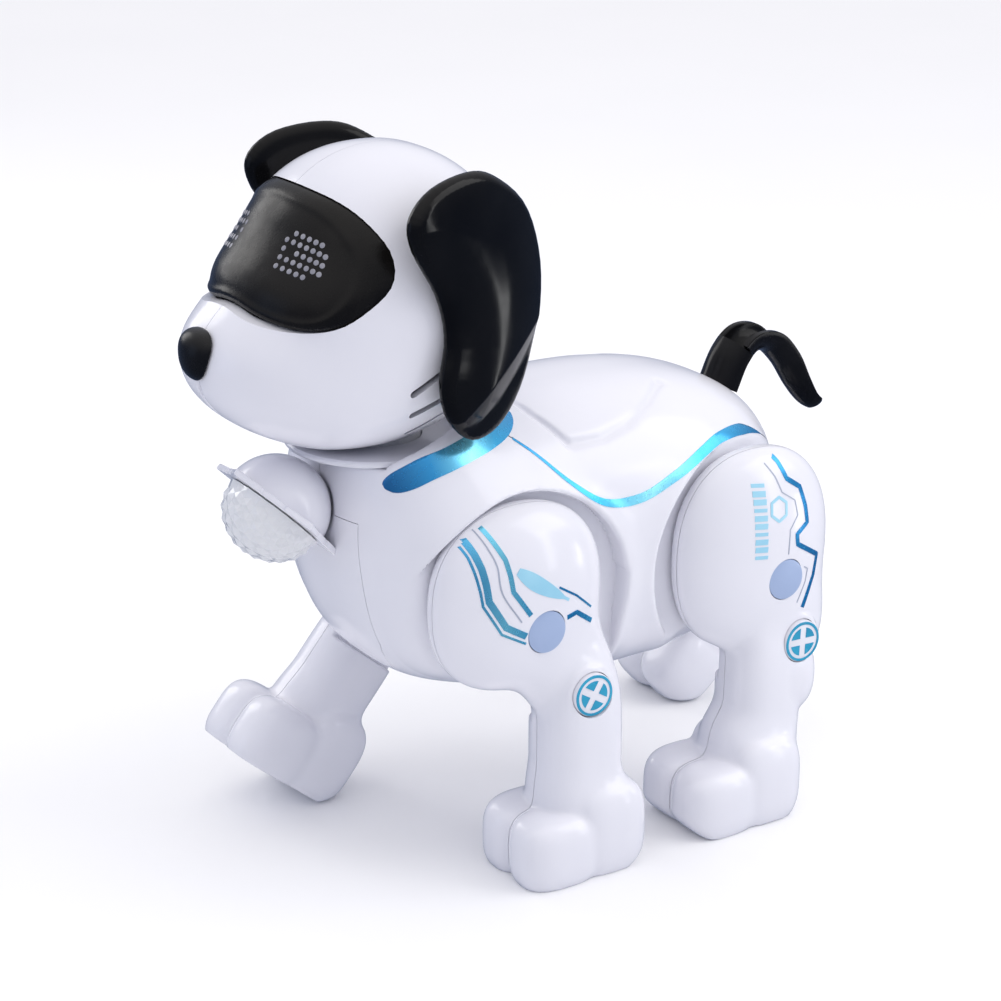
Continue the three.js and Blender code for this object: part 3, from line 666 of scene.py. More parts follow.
# Lines on the left side as (x, forward, z), which the right side repeats.
SADDLE_EDGE = [(35.5, -3.5, 145), (35.7, -15, 144.7), (33.5, -26, 146.7), (27.6, -39, 150.4), (19, -50, 153)]
SHOULDER_SLIT = [(8, 8, 157.5), (16.3, 5, 155.4), (23.2, 3.8, 153.2), (29.6, 1.1, 150), (35, -2, 146)]
RUMP_SEAM = [(10, -70, 149), (13, -76, 145.7), (15, -87, 138.6), (21, -93, 131.8)]
CHEST_EDGE = [(31.5, 67, 97), (38.7, 63.7, 92.7), (43.5, 58, 89), (45.3, 51, 85)]


def body_detail(p):
    """Relief on the hull: flared rims round the pockets, a groove along the saddle's edge, and fine creases."""
    outside = np.clip((np.abs(p[:, 0]) - 26) / 12, 0, 1)
    value = np.zeros(len(p))
    for leg in LEGS.values():
        rim = pocket_outline(p, leg)
        value -= 1.1 * outside * np.exp(-((rim / 4.5) ** 2))
    value += groove(p, SHOULDER_SLIT, 1.1, 1.9)
    value += groove(p, SADDLE_EDGE, 2.0, 1.1)
    value += groove(p, RUMP_SEAM, 1.1, 0.7)
    value += groove(p, CHEST_EDGE, 1.2, 0.7)
    return value


def body_shape(p):
    value = in_layers(p, body_hull, body_detail)
    side = POCKET_FLOOR - np.abs(p[:, 0])
    for leg in LEGS.values():
        value = without(value, np.maximum(side, pocket_outline(p, leg)), 1.8)
    above = COLLAR["height"] + (COLLAR["forward"] - p[:, 1]) * COLLAR["rise"] - p[:, 2]
    value = without(value, np.maximum(above, 8 - p[:, 1]), 1.4)
    value = without(value, ellipsoid(p, BOWL["centre"], BOWL["radii"]), 1.2)
    from_neck = np.hypot(p[:, 0], p[:, 1] - NECK["forward"])
    value = without(value, np.maximum(from_neck - NECK["ring"] - 1, NECK["seat"] - p[:, 2]), 0.6)
    from_lamp = np.linalg.norm(p - np.array((0, LAMP["forward"], LAMP["z"])), axis=1)
    return without(value, from_lamp - LAMP["radius"] - 0.6, 1.2)


def lamp_place(u, v, h):
    """A place given about the lamp's own axis, h along the way it shines."""
    tilt = math.radians(LAMP["tilt"])
    forward = LAMP["forward"] + h * math.cos(tilt) + v * math.sin(tilt)
    return (u, forward, LAMP["z"] - h * math.sin(tilt) + v * math.cos(tilt))


def body_wall():
    """The whole moulded body as one shell with its openings."""
    low, high = (-50, -104, 54), (50, 78, 162)
    outer = new_piece("body_outer", *surface(body_shape, low, high, 0.8))
    inner = new_piece("body_inner", *surface(lambda p: body_shape(p) + WALL, low, high, 1.8, hidden=True))
    wall = cut(outer, inner)
    cut(wall, rod("neck_hole", NECK["post"] + 3, 120, 200, 2, (0, NECK["forward"])))
    for leg in LEGS.values():
        cut(wall, rod("shaft_hole", 4.4, -60, 60, 0, leg["hip"]))
    cut(wall, rod("stem_hole", 5.4, 50, 80, 1, (0, LAMP["stem_z"])))
    flange = LAMP["radius"] + LAMP["flange"] + 0.5
    slot = lathe("flange_slot", [(0, -1.8), (flange, -1.8), (flange, 1), (0, 1)], lamp_place, 64)
    return cut(wall, slot)


SEAM_LINE = curve(BACK_SEAM, 121)
TRIM_SHARES = (0.155, 0.84)  # the blue strip's stretch of the seam line


def seam_region(name, side):
    """Everything above (side 1) or below (side -1) the back seam."""
    ahead = headings(SEAM_LINE)
    edge = SEAM_LINE + side * GAP / 2 * np.column_stack([ahead[:, 1], -ahead[:, 0]])
    over = [(-125, 104), (-125, 190), (46, 190)]
    under = [(-125, 104), (-125, 30), (90, 30), (90, 166)]
    corners = over if side > 0 else under
    return prism(name, [tuple(q) for q in edge] + corners, -80, 80, 0)


def chest_outline(grown):
    half = [(22 + grown, 128 + grown), (22 + grown, 86 - grown), (19 + grown, 77), (12 + grown, 66 - grown)]
    return [(-x, z) for x, z in half] + half[::-1]


def strip_width(share):
    """Half the blue strip's width: a hairline at the collar, full along the flank, a point at the rump."""
    full = 1.15 * min(1, (share / 0.35) ** 1.5) * min(1, (1 - share) / 0.12)
    return 0.35 + full - 0.3 * max(0, share - 0.88) / 0.12


COLLAR_LEAF = [
    (62, 141.2), (57, 144.8), (51, 147.9), (43, 150.2), (35, 151.8), (27, 152.7), (18, 153.8), (9.5, 155.8),
]


def leaf_width(share):
    """Half the collar leaf's width: full along most of its length, with round ends."""
    return 0.2 + 2.9 * math.sqrt(max(0, 1 - abs(2 * share - 1) ** 5))


def hatch_block(name, grown):
    """A block through the belly with the battery cover's outline, grown on every side."""
    half = HATCH["half"] + grown
    return box(name, (-half, half), (HATCH["rear"] - grown, HATCH["front"] + grown), BELLY)


def chest_block(name, grown):
    return prism(name, chest_outline(grown), 48, 100, 1)


def body_pieces():
    wall = body_wall()
    cover = cut(copy_of(wall, "back_cover_skin"), seam_region("above", 1), "INTERSECT")
    cut(cover, rod("tail_hole", 4.4, 120, 170, 2, (0, TAIL_ROOT)))
    tail_room = prism("tail_room", [(-101, 139), (-82, 147), (-82, 160), (-101, 160)], -9.5, 9.5, 0)
    cut(cover, tail_room)
    sides = cut(wall, seam_region("below", -1), "INTERSECT")
    panel = cut(copy_of(sides, "chest_panel_skin"), chest_block("chest", 0), "INTERSECT")
    hatch = cut(copy_of(sides, "battery_cover_skin"), hatch_block("hatch", 0), "INTERSECT")
    cut(hatch, rod("socket_hole", 3.7, 40, 80, 2, (0, SOCKET)))
    cut(sides, chest_block("chest_gap", GAP))
    cut(sides, hatch_block("hatch_gap", GAP))
    cut(sides, box("slider_slot", (-3.5, 3.5), (-59.5, -48.5), (40, 70)))
    cut(sides, box("slider_room", (-6, 6), (-64, -44), (62.3, 66)))
    cut(sides, box("left_half", (SEAM, 80), (-140, 120), (0, 260)), "INTERSECT")
    pair(sides, "body_shell_skin", WHITE, "root", "white_shell", ["body_shell"])
    finish_piece(cover, WHITE, "root", "white_shell", "back_cover")
    finish_piece(panel, WHITE, "root", "white_shell", "chest_panel")
    finish_piece(hatch, WHITE, "root", "white_shell", "battery_cover")
    first, last = (int(share * (len(SEAM_LINE) - 1)) for share in TRIM_SHARES)
    strip = ribbon("trim_stripe_skin", body_shape, SEAM_LINE[first:last], strip_width, rise=0.2, sink=1.2)
    pair(strip, "trim_stripe_skin", FOIL, "root", "blue_foil", ["trim_stripe"])
    line = curve(COLLAR_LEAF, 80)
    leaf = ribbon("collar_leaf", body_hull, line, leaf_width, rise=0.22, sink=1.0, across=9)
    pair(leaf, "collar_leaf", FOIL, "root", "blue_foil")


# ---------------------------------------------------------------- neck ring, lamp and tail
def neck_ring():
    base = NECK["seat"] + GAP
    bore = NECK["post"] + 0.4
    skirt = NECK["post"] + 2.7
    rim = NECK["ring"]
    profile = [
        (bore, base - 8), (skirt, base - 8), (skirt, base), (rim - 0.5, base),
        (rim, base + 0.5), (rim, base + 1.4), (rim - 0.6, base + 2), (bore, base + 2),
    ]
    ring = lathe("neck_ring_skin", profile, lambda u, v, h: (u, NECK["forward"] + v, h))
    finish_piece(ring, WHITE, "root", "white_shell", "neck_ring")


def arc(radius, start, end, steps):
    """(radius, height) places on a circle, from one angle above its middle to another, in degrees."""
    places = []
    for angle in np.radians(np.linspace(start, end, steps + 1)):
        across = math.cos(angle)
        places.append((radius * across if across > 1e-6 else 0, radius * math.sin(angle)))
    return places


def lamp_fin(turn, reach, width):
    """One pointed fin on the lamp's flange, drawn about the lamp's axis."""
    r = LAMP["radius"]
    corners = [(r - 1, -width), (r + 1, -width), (r + reach, 0), (r + 1, width), (r - 1, width)]
    rings = []
    for height, grown in [(-1.6, -0.3), (-1.3, 0), (0.1, 0), (0.4, -0.3)]:
        ring = []
        for along, across in corners:
            a, b = along + grown, across * (1 + grown / width)
            u = a * math.cos(turn) - b * math.sin(turn)
            v = a * math.sin(turn) + b * math.cos(turn)
            ring.append(lamp_place(u, v, height))
        rings.append(ring)
    return loft("lamp_fin", rings)


def lamp_pieces():
    r = LAMP["radius"]
    rim = r + LAMP["flange"] * 0.45
    flange = [(rim - 0.3, -1.6), (rim, -1.3), (rim, 0.1), (rim - 0.3, 0.4), (r - 2, 0.4)]
    profile = arc(r, -90, -5, 24) + flange + arc(r - 2, -6, -90, 16)
    cup = lathe("lamp_housing_skin", profile, lamp_place)
    for i in range(5):
        cut(cup, lamp_fin(math.radians(4 + 360 / 5 * i), 7.6, 7.5), "UNION")
    cut(cup, rod("lamp_stem", 5, 58, 71, 1, (0, LAMP["stem_z"])), "UNION")
    cut(cup, lathe("lamp_hollow", [(0, -14), (14.2, -6), (15.4, 0.6), (0, 0.6)], lamp_place))
    finish_piece(cup, WHITE, "root", "white_shell", "lamp_housing")
    finish_piece(lamp_dome(), CLEAR, "root", "clear_lens", "lamp_lens")


def lamp_dome():
    """The clear cap: rows of six-sided bosses on a short collar outside, and a smooth hollow inside."""
    r = LAMP["radius"] - 0.6
    work = bmesh.new()
    bmesh.ops.create_icosphere(work, subdivisions=3, radius=r)
    everything = work.verts[:] + work.edges[:] + work.faces[:]
    bmesh.ops.bisect_plane(work, geom=everything, plane_co=(0, 0, 0), plane_no=(0, 0, -1), clear_outer=True)
    # each old corner becomes the peak of a boss, inside a ring of valleys at the middles of the old faces
    ridges = [edge for edge in work.edges if not edge.is_boundary]
    valleys = bmesh.ops.poke(work, faces=work.faces[:])["verts"]
    bmesh.ops.rotate_edges(work, edges=ridges, use_ccw=False)
    for vertex in valleys:
        vertex.co *= 0.972
    rim = [edge for edge in work.edges if edge.is_boundary]
    bmesh.ops.contextual_create(work, geom=rim)
    for vertex in work.verts:
        lift = 0.8 if vertex.co.z < 0.01 else 1.6
        vertex.co = Vector(lamp_place(vertex.co.x, vertex.co.y, vertex.co.z * 0.92 + lift))
    work.verts.ensure_lookup_table()
    places = [tuple(vertex.co) for vertex in work.verts]
    faces = [tuple(vertex.index for vertex in face.verts) for face in work.faces]
    work.free()
    lens = new_piece("lamp_lens_skin", places, faces)
    outward(lens)
    hollow = [(0, 0.2), (r - 2.4, 0.2)] + [(a, h * 0.92 + 0.8) for a, h in arc(r - 2.4, 8, 90, 12)]
    cut(lens, lathe("lens_hollow", hollow, lamp_place, 64))
    lens.data.set_sharp_from_angle(angle=math.radians(6))
    return lens


TAIL_PATH = [
    (-90, 141), (-95, 151), (-102, 157), (-111, 156), (-119, 148), (-125, 138), (-130, 131), (-135.4, 127),
]
TAIL_TURN = 0.2  # the share of the path after which the section faces the other way


def tail():
    """A half pipe bent along the tail's path and narrowing to its tip. Its open side faces rearward on the
    first fifth of the path. There the section turns over, and the open side faces out of the curl."""
    path = curve(TAIL_PATH, 90)
    turns = np.radians(np.linspace(0, 180, 25))
    section = [(8.6 * math.cos(t), 8.6 * math.sin(t)) for t in turns]
    section += [(-8.2, -0.35), (-6.2, -0.35)]
    section += [(5.8 * math.cos(t), 5.8 * math.sin(t)) for t in turns[::-1]]
    section += [(6.2, -0.35), (8.2, -0.35)]
    rings = []
    for i, (spot, way) in enumerate(zip(path, headings(path))):
        share = i / (len(path) - 1)
        scale = (1 - 0.5 * share**2.2) * math.sqrt(min(1, 0.2 + (1 - share) * 12))
        side = 1 if share > TAIL_TURN else -1
        up = (-side * way[1], side * way[0])
        rings.append([(x * scale, spot[0] + up[0] * (y - 2) * scale, spot[1] + up[1] * (y - 2) * scale)
                      for x, y in section])
    piece = loft("tail_skin", rings)
    cut(piece, rod("tail_plug", 4, 126, 143.5, 2, (0, TAIL_ROOT)), "UNION")
    finish_piece(piece, RUBBER, "root", "tail_rubber", "tail")


# ---------------------------------------------------------------- head
VISOR_HALF = [
    (8, 233), (20, 231), (29, 226.5), (36, 219), (39.6, 209.5),
    (39.2, 202.5), (35.5, 197.2), (28, 195.6), (14, 197.5), (4.5, 199),
]
VISOR_MIDDLE = {"z": 214, "half_width": 36, "half_height": 19}
VISOR_RISE = 0.9
CHEEK_SLOTS = [  # each a slit's half width and its two ends in the side view
    (1.25, (57.4, 173.8), (44, 181)),
    (1.1, (56, 165.9), (42, 170.5)),
    (0.7, (53.4, 157.6), (42, 163)),
]


def outline_distance(flat, outline):
    """Signed distance in the plane to a closed outline, negative inside."""
    inside = np.zeros(len(flat), bool)
    nearest = np.full(len(flat), 1e9)
    for a, b in zip(outline, np.roll(outline, -1, axis=0)):
        run = b - a
        share = np.clip((flat - a) @ run / (run @ run), 0, 1)
        away = flat - a - share[:, None] * run
        nearest = np.minimum(nearest, np.hypot(away[:, 0], away[:, 1]))
        straddles = (a[1] > flat[:, 1]) != (b[1] > flat[:, 1])
        crossing = a[0] + (flat[:, 1] - a[1]) * run[0] / (run[1] or 1e-9)
        inside ^= straddles & (flat[:, 0] < crossing)
    return np.where(inside, -nearest, nearest)


def face_hull(p):
    """The rounded head without its muzzle, which the visor follows."""
    cranium = ellipsoid(p, (0, 47, 197), (43, 43, 46), 2.4, 2.1)
    brow = ellipsoid(p, (0, 60, 198), (40.5, 37, 25.5), 2.3, 2)
    cheeks = ellipsoid(p, (0, 64, 176), (39, 36, 27), 2.2, 2)
    return join(join(cranium, brow, 4), cheeks, 8)


def head_hull(p):
    return join(face_hull(p), ellipsoid(p, (0, 79.5, 180.5), (31, 31, 23.2), 2.5, 2.1), 6)


def head_detail(p):
    """The mouth, a fine crease down the middle of the muzzle."""
    return groove(p, [(0, 110, 177), (0, 104, 165)], 0.7, 1.2)


def cheek_slit(half, start, end):
    """A round-ended slot through the left cheek."""
    lean = math.atan2(end[1] - start[1], end[0] - start[0])
    outline = []
    for spot, first in ((end, lean - math.pi / 2), (start, lean + math.pi / 2)):
        for i in range(9):
            turn = first + math.pi * i / 8
            outline.append((spot[0] + half * math.cos(turn), spot[1] + half * math.sin(turn)))
    return prism("cheek_slit", outline, 20, 60, 0)


def head_shape(p):
    value = in_layers(p, head_hull, head_detail)
    return without(value, p[:, 2] - 150, 1.5)


def visor_outline():
    half = np.array(VISOR_HALF, float)
    return curve(np.concatenate([half, half[::-1] * (-1, 1)]), 72, closed=True)


VISOR_OUTLINE = visor_outline()


def visor_shape(p):
    """A plate that follows the head, stands slightly proud of it and has a rounded rim."""
    hull = face_hull(p)
    value = np.maximum(hull - VISOR_RISE, -hull - WALL)
    near = (np.abs(hull) < 4.5) & (p[:, 1] > 50)
    value[~near] = np.maximum(value[~near], 2)
    edge = outline_distance(p[near][:, [0, 2]], VISOR_OUTLINE)
    # the rim slopes up to a ridge just inside the edge, and the field inside it sinks again
    ridge = 0.35 * np.exp(-(((edge + 2.6) / 1.2) ** 2))
    face = meet(hull[near] - VISOR_RISE - ridge + 0.3, edge, 1.8)
    value[near] = np.maximum(face, -hull[near] - WALL)
    return value


def head_pieces():
    low, high = (-46, 0, 147), (46, 113, 247)
    wall = new_piece("head_outer", *surface(head_shape, low, high, FINE))
    cut(wall, new_piece("head_inner", *surface(lambda p: head_shape(p) + WALL, low, high, 1.8, hidden=True)))
    cut(wall, rod("neck_hole", NECK["post"] + GAP, 140, 165, 2, (0, NECK["forward"])))
    cut(wall, rod("nose_hole", 3.3, 95, 125, 1, NOSE_STEM))
    cut(wall, rod("peg_hole", 5.3, -60, 60, 0, EAR_PEG))
    middle = VISOR_MIDDLE["z"]
    hole = VISOR_OUTLINE * (1 + GAP / VISOR_MIDDLE["half_width"], 1)
    hole[:, 1] = middle + (hole[:, 1] - middle) * (1 + GAP / VISOR_MIDDLE["half_height"])
    cut(wall, prism("visor_hole", [tuple(q) for q in hole], 52, 120, 1))
    cut(wall, box("left_half", (0.1, 80), (-140, 160), (0, 300)), "INTERSECT")
    for half, start, end in CHEEK_SLOTS:
        cut(wall, cheek_slit(half, start, end))
    pair(wall, "head_shell_skin", WHITE, "head", "white_shell", ["head_shell"])
    visor = new_piece("face_visor_skin", *surface(visor_shape, (-43, 50, 188), (43, 104, 238), 0.55))
    finish_piece(visor, VISOR, "head", "visor", "face_visor")
    eyes()
    nose()
    ears()


def nose_shape(p):
    narrow = 1 + 0.014 * (NOSE_STEM[1] - p[:, 2])
    q = np.column_stack([p[:, 0] * narrow, p[:, 1], p[:, 2]])
    bulb = ellipsoid(q, (0, 108.3, 184.7), (8.9, 6.4, 8.2), 2.1, 2.3)
    return without(bulb, head_hull(p) - GAP, 0.6)


def nose():
    piece = new_piece("nose_skin", *surface(nose_shape, (-11, 98, 173), (11, 117, 196), 0.45))
    cut(piece, rod("nose_stem", 3, 98, 110, 1, NOSE_STEM), "UNION")
    finish_piece(piece, SATIN, "head", "black_satin", "nose")


def dome(name, centre, out, radius, height):
    """A small domed disc on a surface, sunk slightly into it."""
    out = Vector(out).normalized()
    side = out.orthogonal().normalized()
    up = out.cross(side)
    profile = [(0, -0.3), (radius, -0.3), (radius, height * 0.3), (radius * 0.75, height * 0.75)]
    profile += [(radius * 0.4, height * 0.95), (0, height)]
    return lathe(name, profile, lambda u, v, h: tuple(Vector(centre) + side * u + up * v + out * h), 16)


def gather(name, parts):
    """Several separate solids as one piece."""
    work = bmesh.new()
    for part in parts:
        work.from_mesh(part.data)
    mesh = bpy.data.meshes.new(name)
    work.to_mesh(mesh)
    work.free()
    smooth(mesh)
    discard(*parts)
    return put(name, mesh)


def visor_face(p):
    """The visor's outer face, which the eye dots sit on."""
    return face_hull(p) - VISOR_RISE + 0.3


def eyes():
    """Each eye is a patch of round lamps, seven columns by five rows with a few left out."""
    missing = {(-2, -3), (-2, 3), (0, -2), (2, 2), (2, 3)}  # as (row, column)
    parts = []
    for row in range(-2, 3):
        for column in range(-3, 4):
            if (row, column) in missing:
                continue
            x = 21.5 + 2.4 * column - 0.1 * column**2 + 0.5 * row
            z = 216.4 - 0.5 * column - 0.03 * column**2 - 2.35 * row
            near, far = 60.0, 110.0
            for _ in range(24):
                middle = (near + far) / 2
                inside = visor_face(np.array([[x, middle, z]]))[0] < 0
                near, far = (middle, far) if inside else (near, middle)
            spot = np.array([[x, near, z]])
            parts.append(dome("dot", spot[0], gradient(visor_face, spot)[0], 0.88, 0.2))
    pair(gather("eye_dots", parts), "eye_dots", DOT, "head", "visor")


EAR = {
    "middle": (42, 41, 201),
    "turn": 17,
    "depth": 2.0,
    "half": 4.6,
    "round": 2.8,
    "outline": [
        (0, 40), (16, 37.5), (25, 30), (24, 20), (13.5, 4), (9.5, -10), (12, -24), (8.5, -36),
        (-2, -44.5), (-15, -42.5), (-26, -31), (-32.5, -12), (-33, 8), (-26, 26), (-12, 37),
    ],
}
EAR_OUTLINE = curve(np.array(EAR["outline"], float), 64, closed=True)


def ear_shape(p):
    """A soft plate with rounded edges and a crowned outer face, set off from the head."""
    turn = math.radians(EAR["turn"])
    x, forward, up = (p[:, i] - EAR["middle"][i] for i in range(3))
    across = x * math.sin(turn) + forward * math.cos(turn)
    depth = x * math.cos(turn) - forward * math.sin(turn) - EAR["depth"]
    edge = outline_distance(np.column_stack([across, up]), EAR_OUTLINE)
    crown = 1 - np.clip(-edge / 21, 0, 1)
    half = EAR["half"] + 0.9 - 3.0 * crown**2
    # a slanting fold crosses the lower half of the outer face, and the surface falls away behind it
    behind = 0.57 * (-25 - across) - 0.82 * (up + 14.5)
    fold = np.clip(behind / 8, 0, 1)
    half = half - 2.4 * fold * np.clip(depth / 2, 0, 1)
    r = EAR["round"]
    a, b = edge + r, np.abs(depth) - half + r
    plate = np.minimum(np.maximum(a, b), 0) + np.hypot(np.maximum(a, 0), np.maximum(b, 0)) - r
    return without(plate, head_hull(p) - GAP, 0.8)


def ears():
    piece = new_piece("ear_skin", *surface(ear_shape, (28, 2, 153), (58, 74, 244), 0.65))
    cut(piece, rod("ear_peg", 5, 33, 44, 0, EAR_PEG), "UNION")
    pair(piece, "ear_skin", BLACK, "head", "black_gloss", ["ear"])


# ---------------------------------------------------------------- legs, drawn about the hip
def knee_boss(p, forward, up):
    """The round boss that carries a knee badge, a little narrower than the knee behind it."""
    round_part = np.hypot(p[:, 1] - forward, p[:, 2] - up) - 8.6
    return meet(round_part, np.maximum(p[:, 0] - 57.3, 40 - p[:, 0]), 1.0)


def paw(p, forward, up, hinge):
    """Two rounded toes in front and two taller blocks behind, with creases between them."""
    sole = ellipsoid(p, (47, forward - 1, up), (15.5, 20.5, 13), 2.6, 2.3)
    ankle = ellipsoid(p, (47.5, hinge, up + 12), (14, 15, 20), 2.4, 2.4)
    foot = join(sole, ankle, 6)
    for x in (39.2, 55.2):
        foot = join(foot, ellipsoid(p, (x, forward + 8.5, up + 0.8), (10.6, 15.2, 13.4), 2.7, 3.4), 1.2)
    for x in (38.5, 56.6):
        foot = join(foot, ellipsoid(p, (x, forward - 10, up + 4.5), (9.2, 14, 17.5), 2.8, 3), 1.2)
    return foot


def above_ground(value, p, leg):
    """Trims a leg where it stands on the ground, and where it would touch the ground at its stride."""
    value = np.maximum(value, leg["ground"] - p[:, 2])
    turn = math.radians(leg["stride"])
    return meet(value, leg["ground"] - p[:, 1] * math.sin(turn) - p[:, 2] * math.cos(turn), 2.5)


def thigh_and_knee(p, badge, forward, across, up):
    """An oval thigh round the hip that narrows to the knee, with the boss for the badge."""
    oval = ellipsoid(p, (46, forward, 9), (13.5, across, up), 2, 2.3)
    knee = ellipsoid(p, (47, *badge), (8.5, 14, 15))
    return join(join(oval, knee, 10), knee_boss(p, *badge), 1.6)


def front_leg(p):
    thigh = thigh_and_knee(p, LEGS["front"]["badge"], 3.8, 31.5, 31)
    shin = ellipsoid(p, (47.5, -19, -46), (13, 14.8, 34), 2.6, 3)
    foot = join(shin, paw(p, -14.5, -80, -18), 3)
    return above_ground(join(thigh, foot, 1.6), p, LEGS["front"])


def rear_leg(p):
    thigh = thigh_and_knee(p, LEGS["rear"]["badge"], 5.9, 31, 35)
    shin = ellipsoid(p, (47.5, 1.5, -44), (12.5, 14, 33), 2.6, 3)
    hock = ellipsoid(p, (49, -8, -38), (11, 10, 15), 2.4, 2.3)
    foot = join(join(shin, hock, 1.2), paw(p, 16, -77, 7), 3)
    return above_ground(join(thigh, foot, 1.6), p, LEGS["rear"])


LEG_FIELDS = {"front": front_leg, "rear": rear_leg}
LEG_BOXES = {"front": ((26, -48, -92), (68, 42, 46)), "rear": ((26, -36, -90), (68, 46, 50))}


def leg_skin(kind):
    """The hollow leg with its flat inner thigh, ready to be parted."""
    field = LEG_FIELDS[kind]

    def trimmed(p):
        flat = np.maximum(p[:, 0] - LEG_INNER, -38 - p[:, 2])
        return without(field(p), flat, 0.8)

    low, high = LEG_BOXES[kind]
    skin = new_piece("leg_outer", *surface(trimmed, low, high, FINE), space=hip_space)
    inner = surface(lambda p: trimmed(p) + WALL, low, high, 1.8, hidden=True)
    cut(skin, new_piece("leg_hollow", *inner, space=hip_space))
    forward, up = LEGS[kind]["badge"]
    cut(skin, rod("shaft", 4.3, 30, 50, 0, (0, 0), hip_space))
    cut(skin, rod("cap_recess", 7.3, 57.4, 80, 0, (0, 0), hip_space, 64))
    cut(skin, rod("badge_recess", 7.6, 55.4, 80, 0, (forward, up), hip_space, 64))
    return skin


def disc(name, radius, low, high, centre, edge=0.35, hollow=0.0):
    """A flat round plate, or a ring if hollow, facing sideways, with a softened outer edge."""
    profile = [(hollow, low), (radius, low), (radius, high - edge), (radius - edge * 0.3, high - edge * 0.3)]
    profile += [(radius - edge, high), (hollow, high)]
    return lathe(name, profile, lambda u, v, h: (h, centre[0] + u, centre[1] + v), 72, hip_space)


def badge_sector(turn, centre):
    """One of the four coloured quarters between the arms of the badge's cross."""
    outer, arm = 5.0, 1.2
    reach = math.sqrt(outer**2 - arm**2)
    start, end = math.atan2(arm, reach), math.atan2(reach, arm)
    corners = [(arm, arm)] + [(outer * math.cos(a), outer * math.sin(a)) for a in np.linspace(start, end, 9)]
    turned = []
    for u, v in corners:
        turned.append((
            centre[0] + u * math.cos(turn) - v * math.sin(turn),
            centre[1] + u * math.sin(turn) + v * math.cos(turn),
        ))
    return prism("badge_sector", turned, 59.2, 59.75, 0, hip_space)


def badge_parts(centre, turn):
    plate = disc("badge_plate", 7.3, 55.7, 59.6, centre, 0.6)
    ring = disc("badge_ring", 7.0, 59.2, 59.78, centre, 0.15, hollow=6.1)
    quarters = gather("badge_quarters", [badge_sector(turn + i * math.pi / 2, centre) for i in range(4)])
    return plate, gather("badge_print", [ring, quarters])


FRONT_FOIL = [  # half widths and corners of the foil lines, as (forward, z) about the hip
    (0.8, [(19.5, 37), (16.7, 31.4), (14.4, 26.7), (13.3, 21.5), (12.6, 16.2), (6.5, 7.3)]),
    (1.1, [(25, 33.2), (23.4, 29.1), (22.1, 24.6), (21.3, 19.8), (20.7, 14.2), (15.2, 4.8), (8, 0.4)]),
    (0.4, [(26.9, 32), (25.4, 28.3), (24.3, 23.5), (23.3, 18), (22.6, 12.8), (16.6, 2.6), (8, -2.2)]),
    (0.8, [(-8, 3), (-12.2, 3.6), (-20, -2)]),
    (0.35, [(-4.5, 14.2), (-12, 9.4), (-19.5, 3)]),
]
REAR_FOIL = [
    (1.9, 41.9), (0.8, 40.2), (-1.2, 34.6), (-6.7, 30.8), (-8.6, 24), (-9.3, 18.2),
    (-4.2, 15.2), (-4.6, 11.6), (-15.4, 4.9), (-14, -2), (-8.6, -12.4),
]


def patch_width(share):
    """Half the leaf-shaped patch's width, full near its middle, with a short narrow tip at its rear."""
    if share >= 0.92:
        return 0.5
    return 0.3 + 2.3 * math.sin(math.pi * min(1, 0.08 + share)) ** 0.7


def thigh_strip(name, field, line, half, closed=False):
    return ribbon(name, field, line, half, closed=closed, space=hip_space)


def front_trim():
    """Printed and foil lines on the front thigh, as (material, slot, piece)."""
    foil = [thigh_strip("line", front_leg, runs(points), half) for half, points in FRONT_FOIL]
    dark = gather("front_foil", foil)
    hairline = curve([(21.5, 36), (19.2, 30.5), (17.3, 25), (16.2, 16), (9.8, 5.6)], 60)
    thin = thigh_strip("front_hairline", front_leg, hairline, 0.22)
    middle = curve([(10.5, 22.5), (3, 16.5), (-8.5, 9)], 40)
    patch = thigh_strip("front_patch", front_leg, middle, patch_width)
    return [(FOIL, "blue_foil", dark), (GREY, "white_shell", thin), (PALE, "blue_foil", patch)]


def rear_trim():
    """Printed and foil lines on the rear thigh, with a plain bar of ticks and an open six-sided mark."""
    foil = thigh_strip("rear_foil", rear_leg, runs(REAR_FOIL), 0.85)
    shadow = [(6.3, 40.6), (3.6, 36.2), (1.8, 30.8), (-3.7, 27), (-4.6, 21.8), (-1, 17.5), (-0.4, 9)]
    lower = [(-8.6, 2.4), (-10.4, 1.2), (-9.6, -3.2), (-5.9, -10)]
    hairs = [thigh_strip("line", rear_leg, runs(points), 0.2) for points in (shadow, lower)]
    thin = gather("rear_hairline", hairs)
    ticks = []
    for i in range(10):
        z = 34.5 - 2.7 * i
        half = 0.95 if i % 3 else 0.6
        ticks.append(thigh_strip("tick", rear_leg, runs([(13.6, z + 0.3), (8.6, z - 0.3)]), half))
    hexagon = [(3.3, 29.5), (0.4, 27.2), (0.7, 23), (3.9, 21.4), (6.9, 23.9), (6.6, 28)]
    outline = runs(hexagon + hexagon[:1])[:-1]
    mark = thigh_strip("rear_mark", rear_leg, outline, 0.5, closed=True)
    pale = gather("rear_print", ticks + [mark])
    return [(FOIL, "blue_foil", foil), (GREY, "white_shell", thin), (PALE, "blue_foil", pale)]


def leg_half(name, low, high):
    """A block that takes in a leg between two planes of constant x."""
    return box(name, (low, high), (-120, 120), (-140, 90), hip_space)


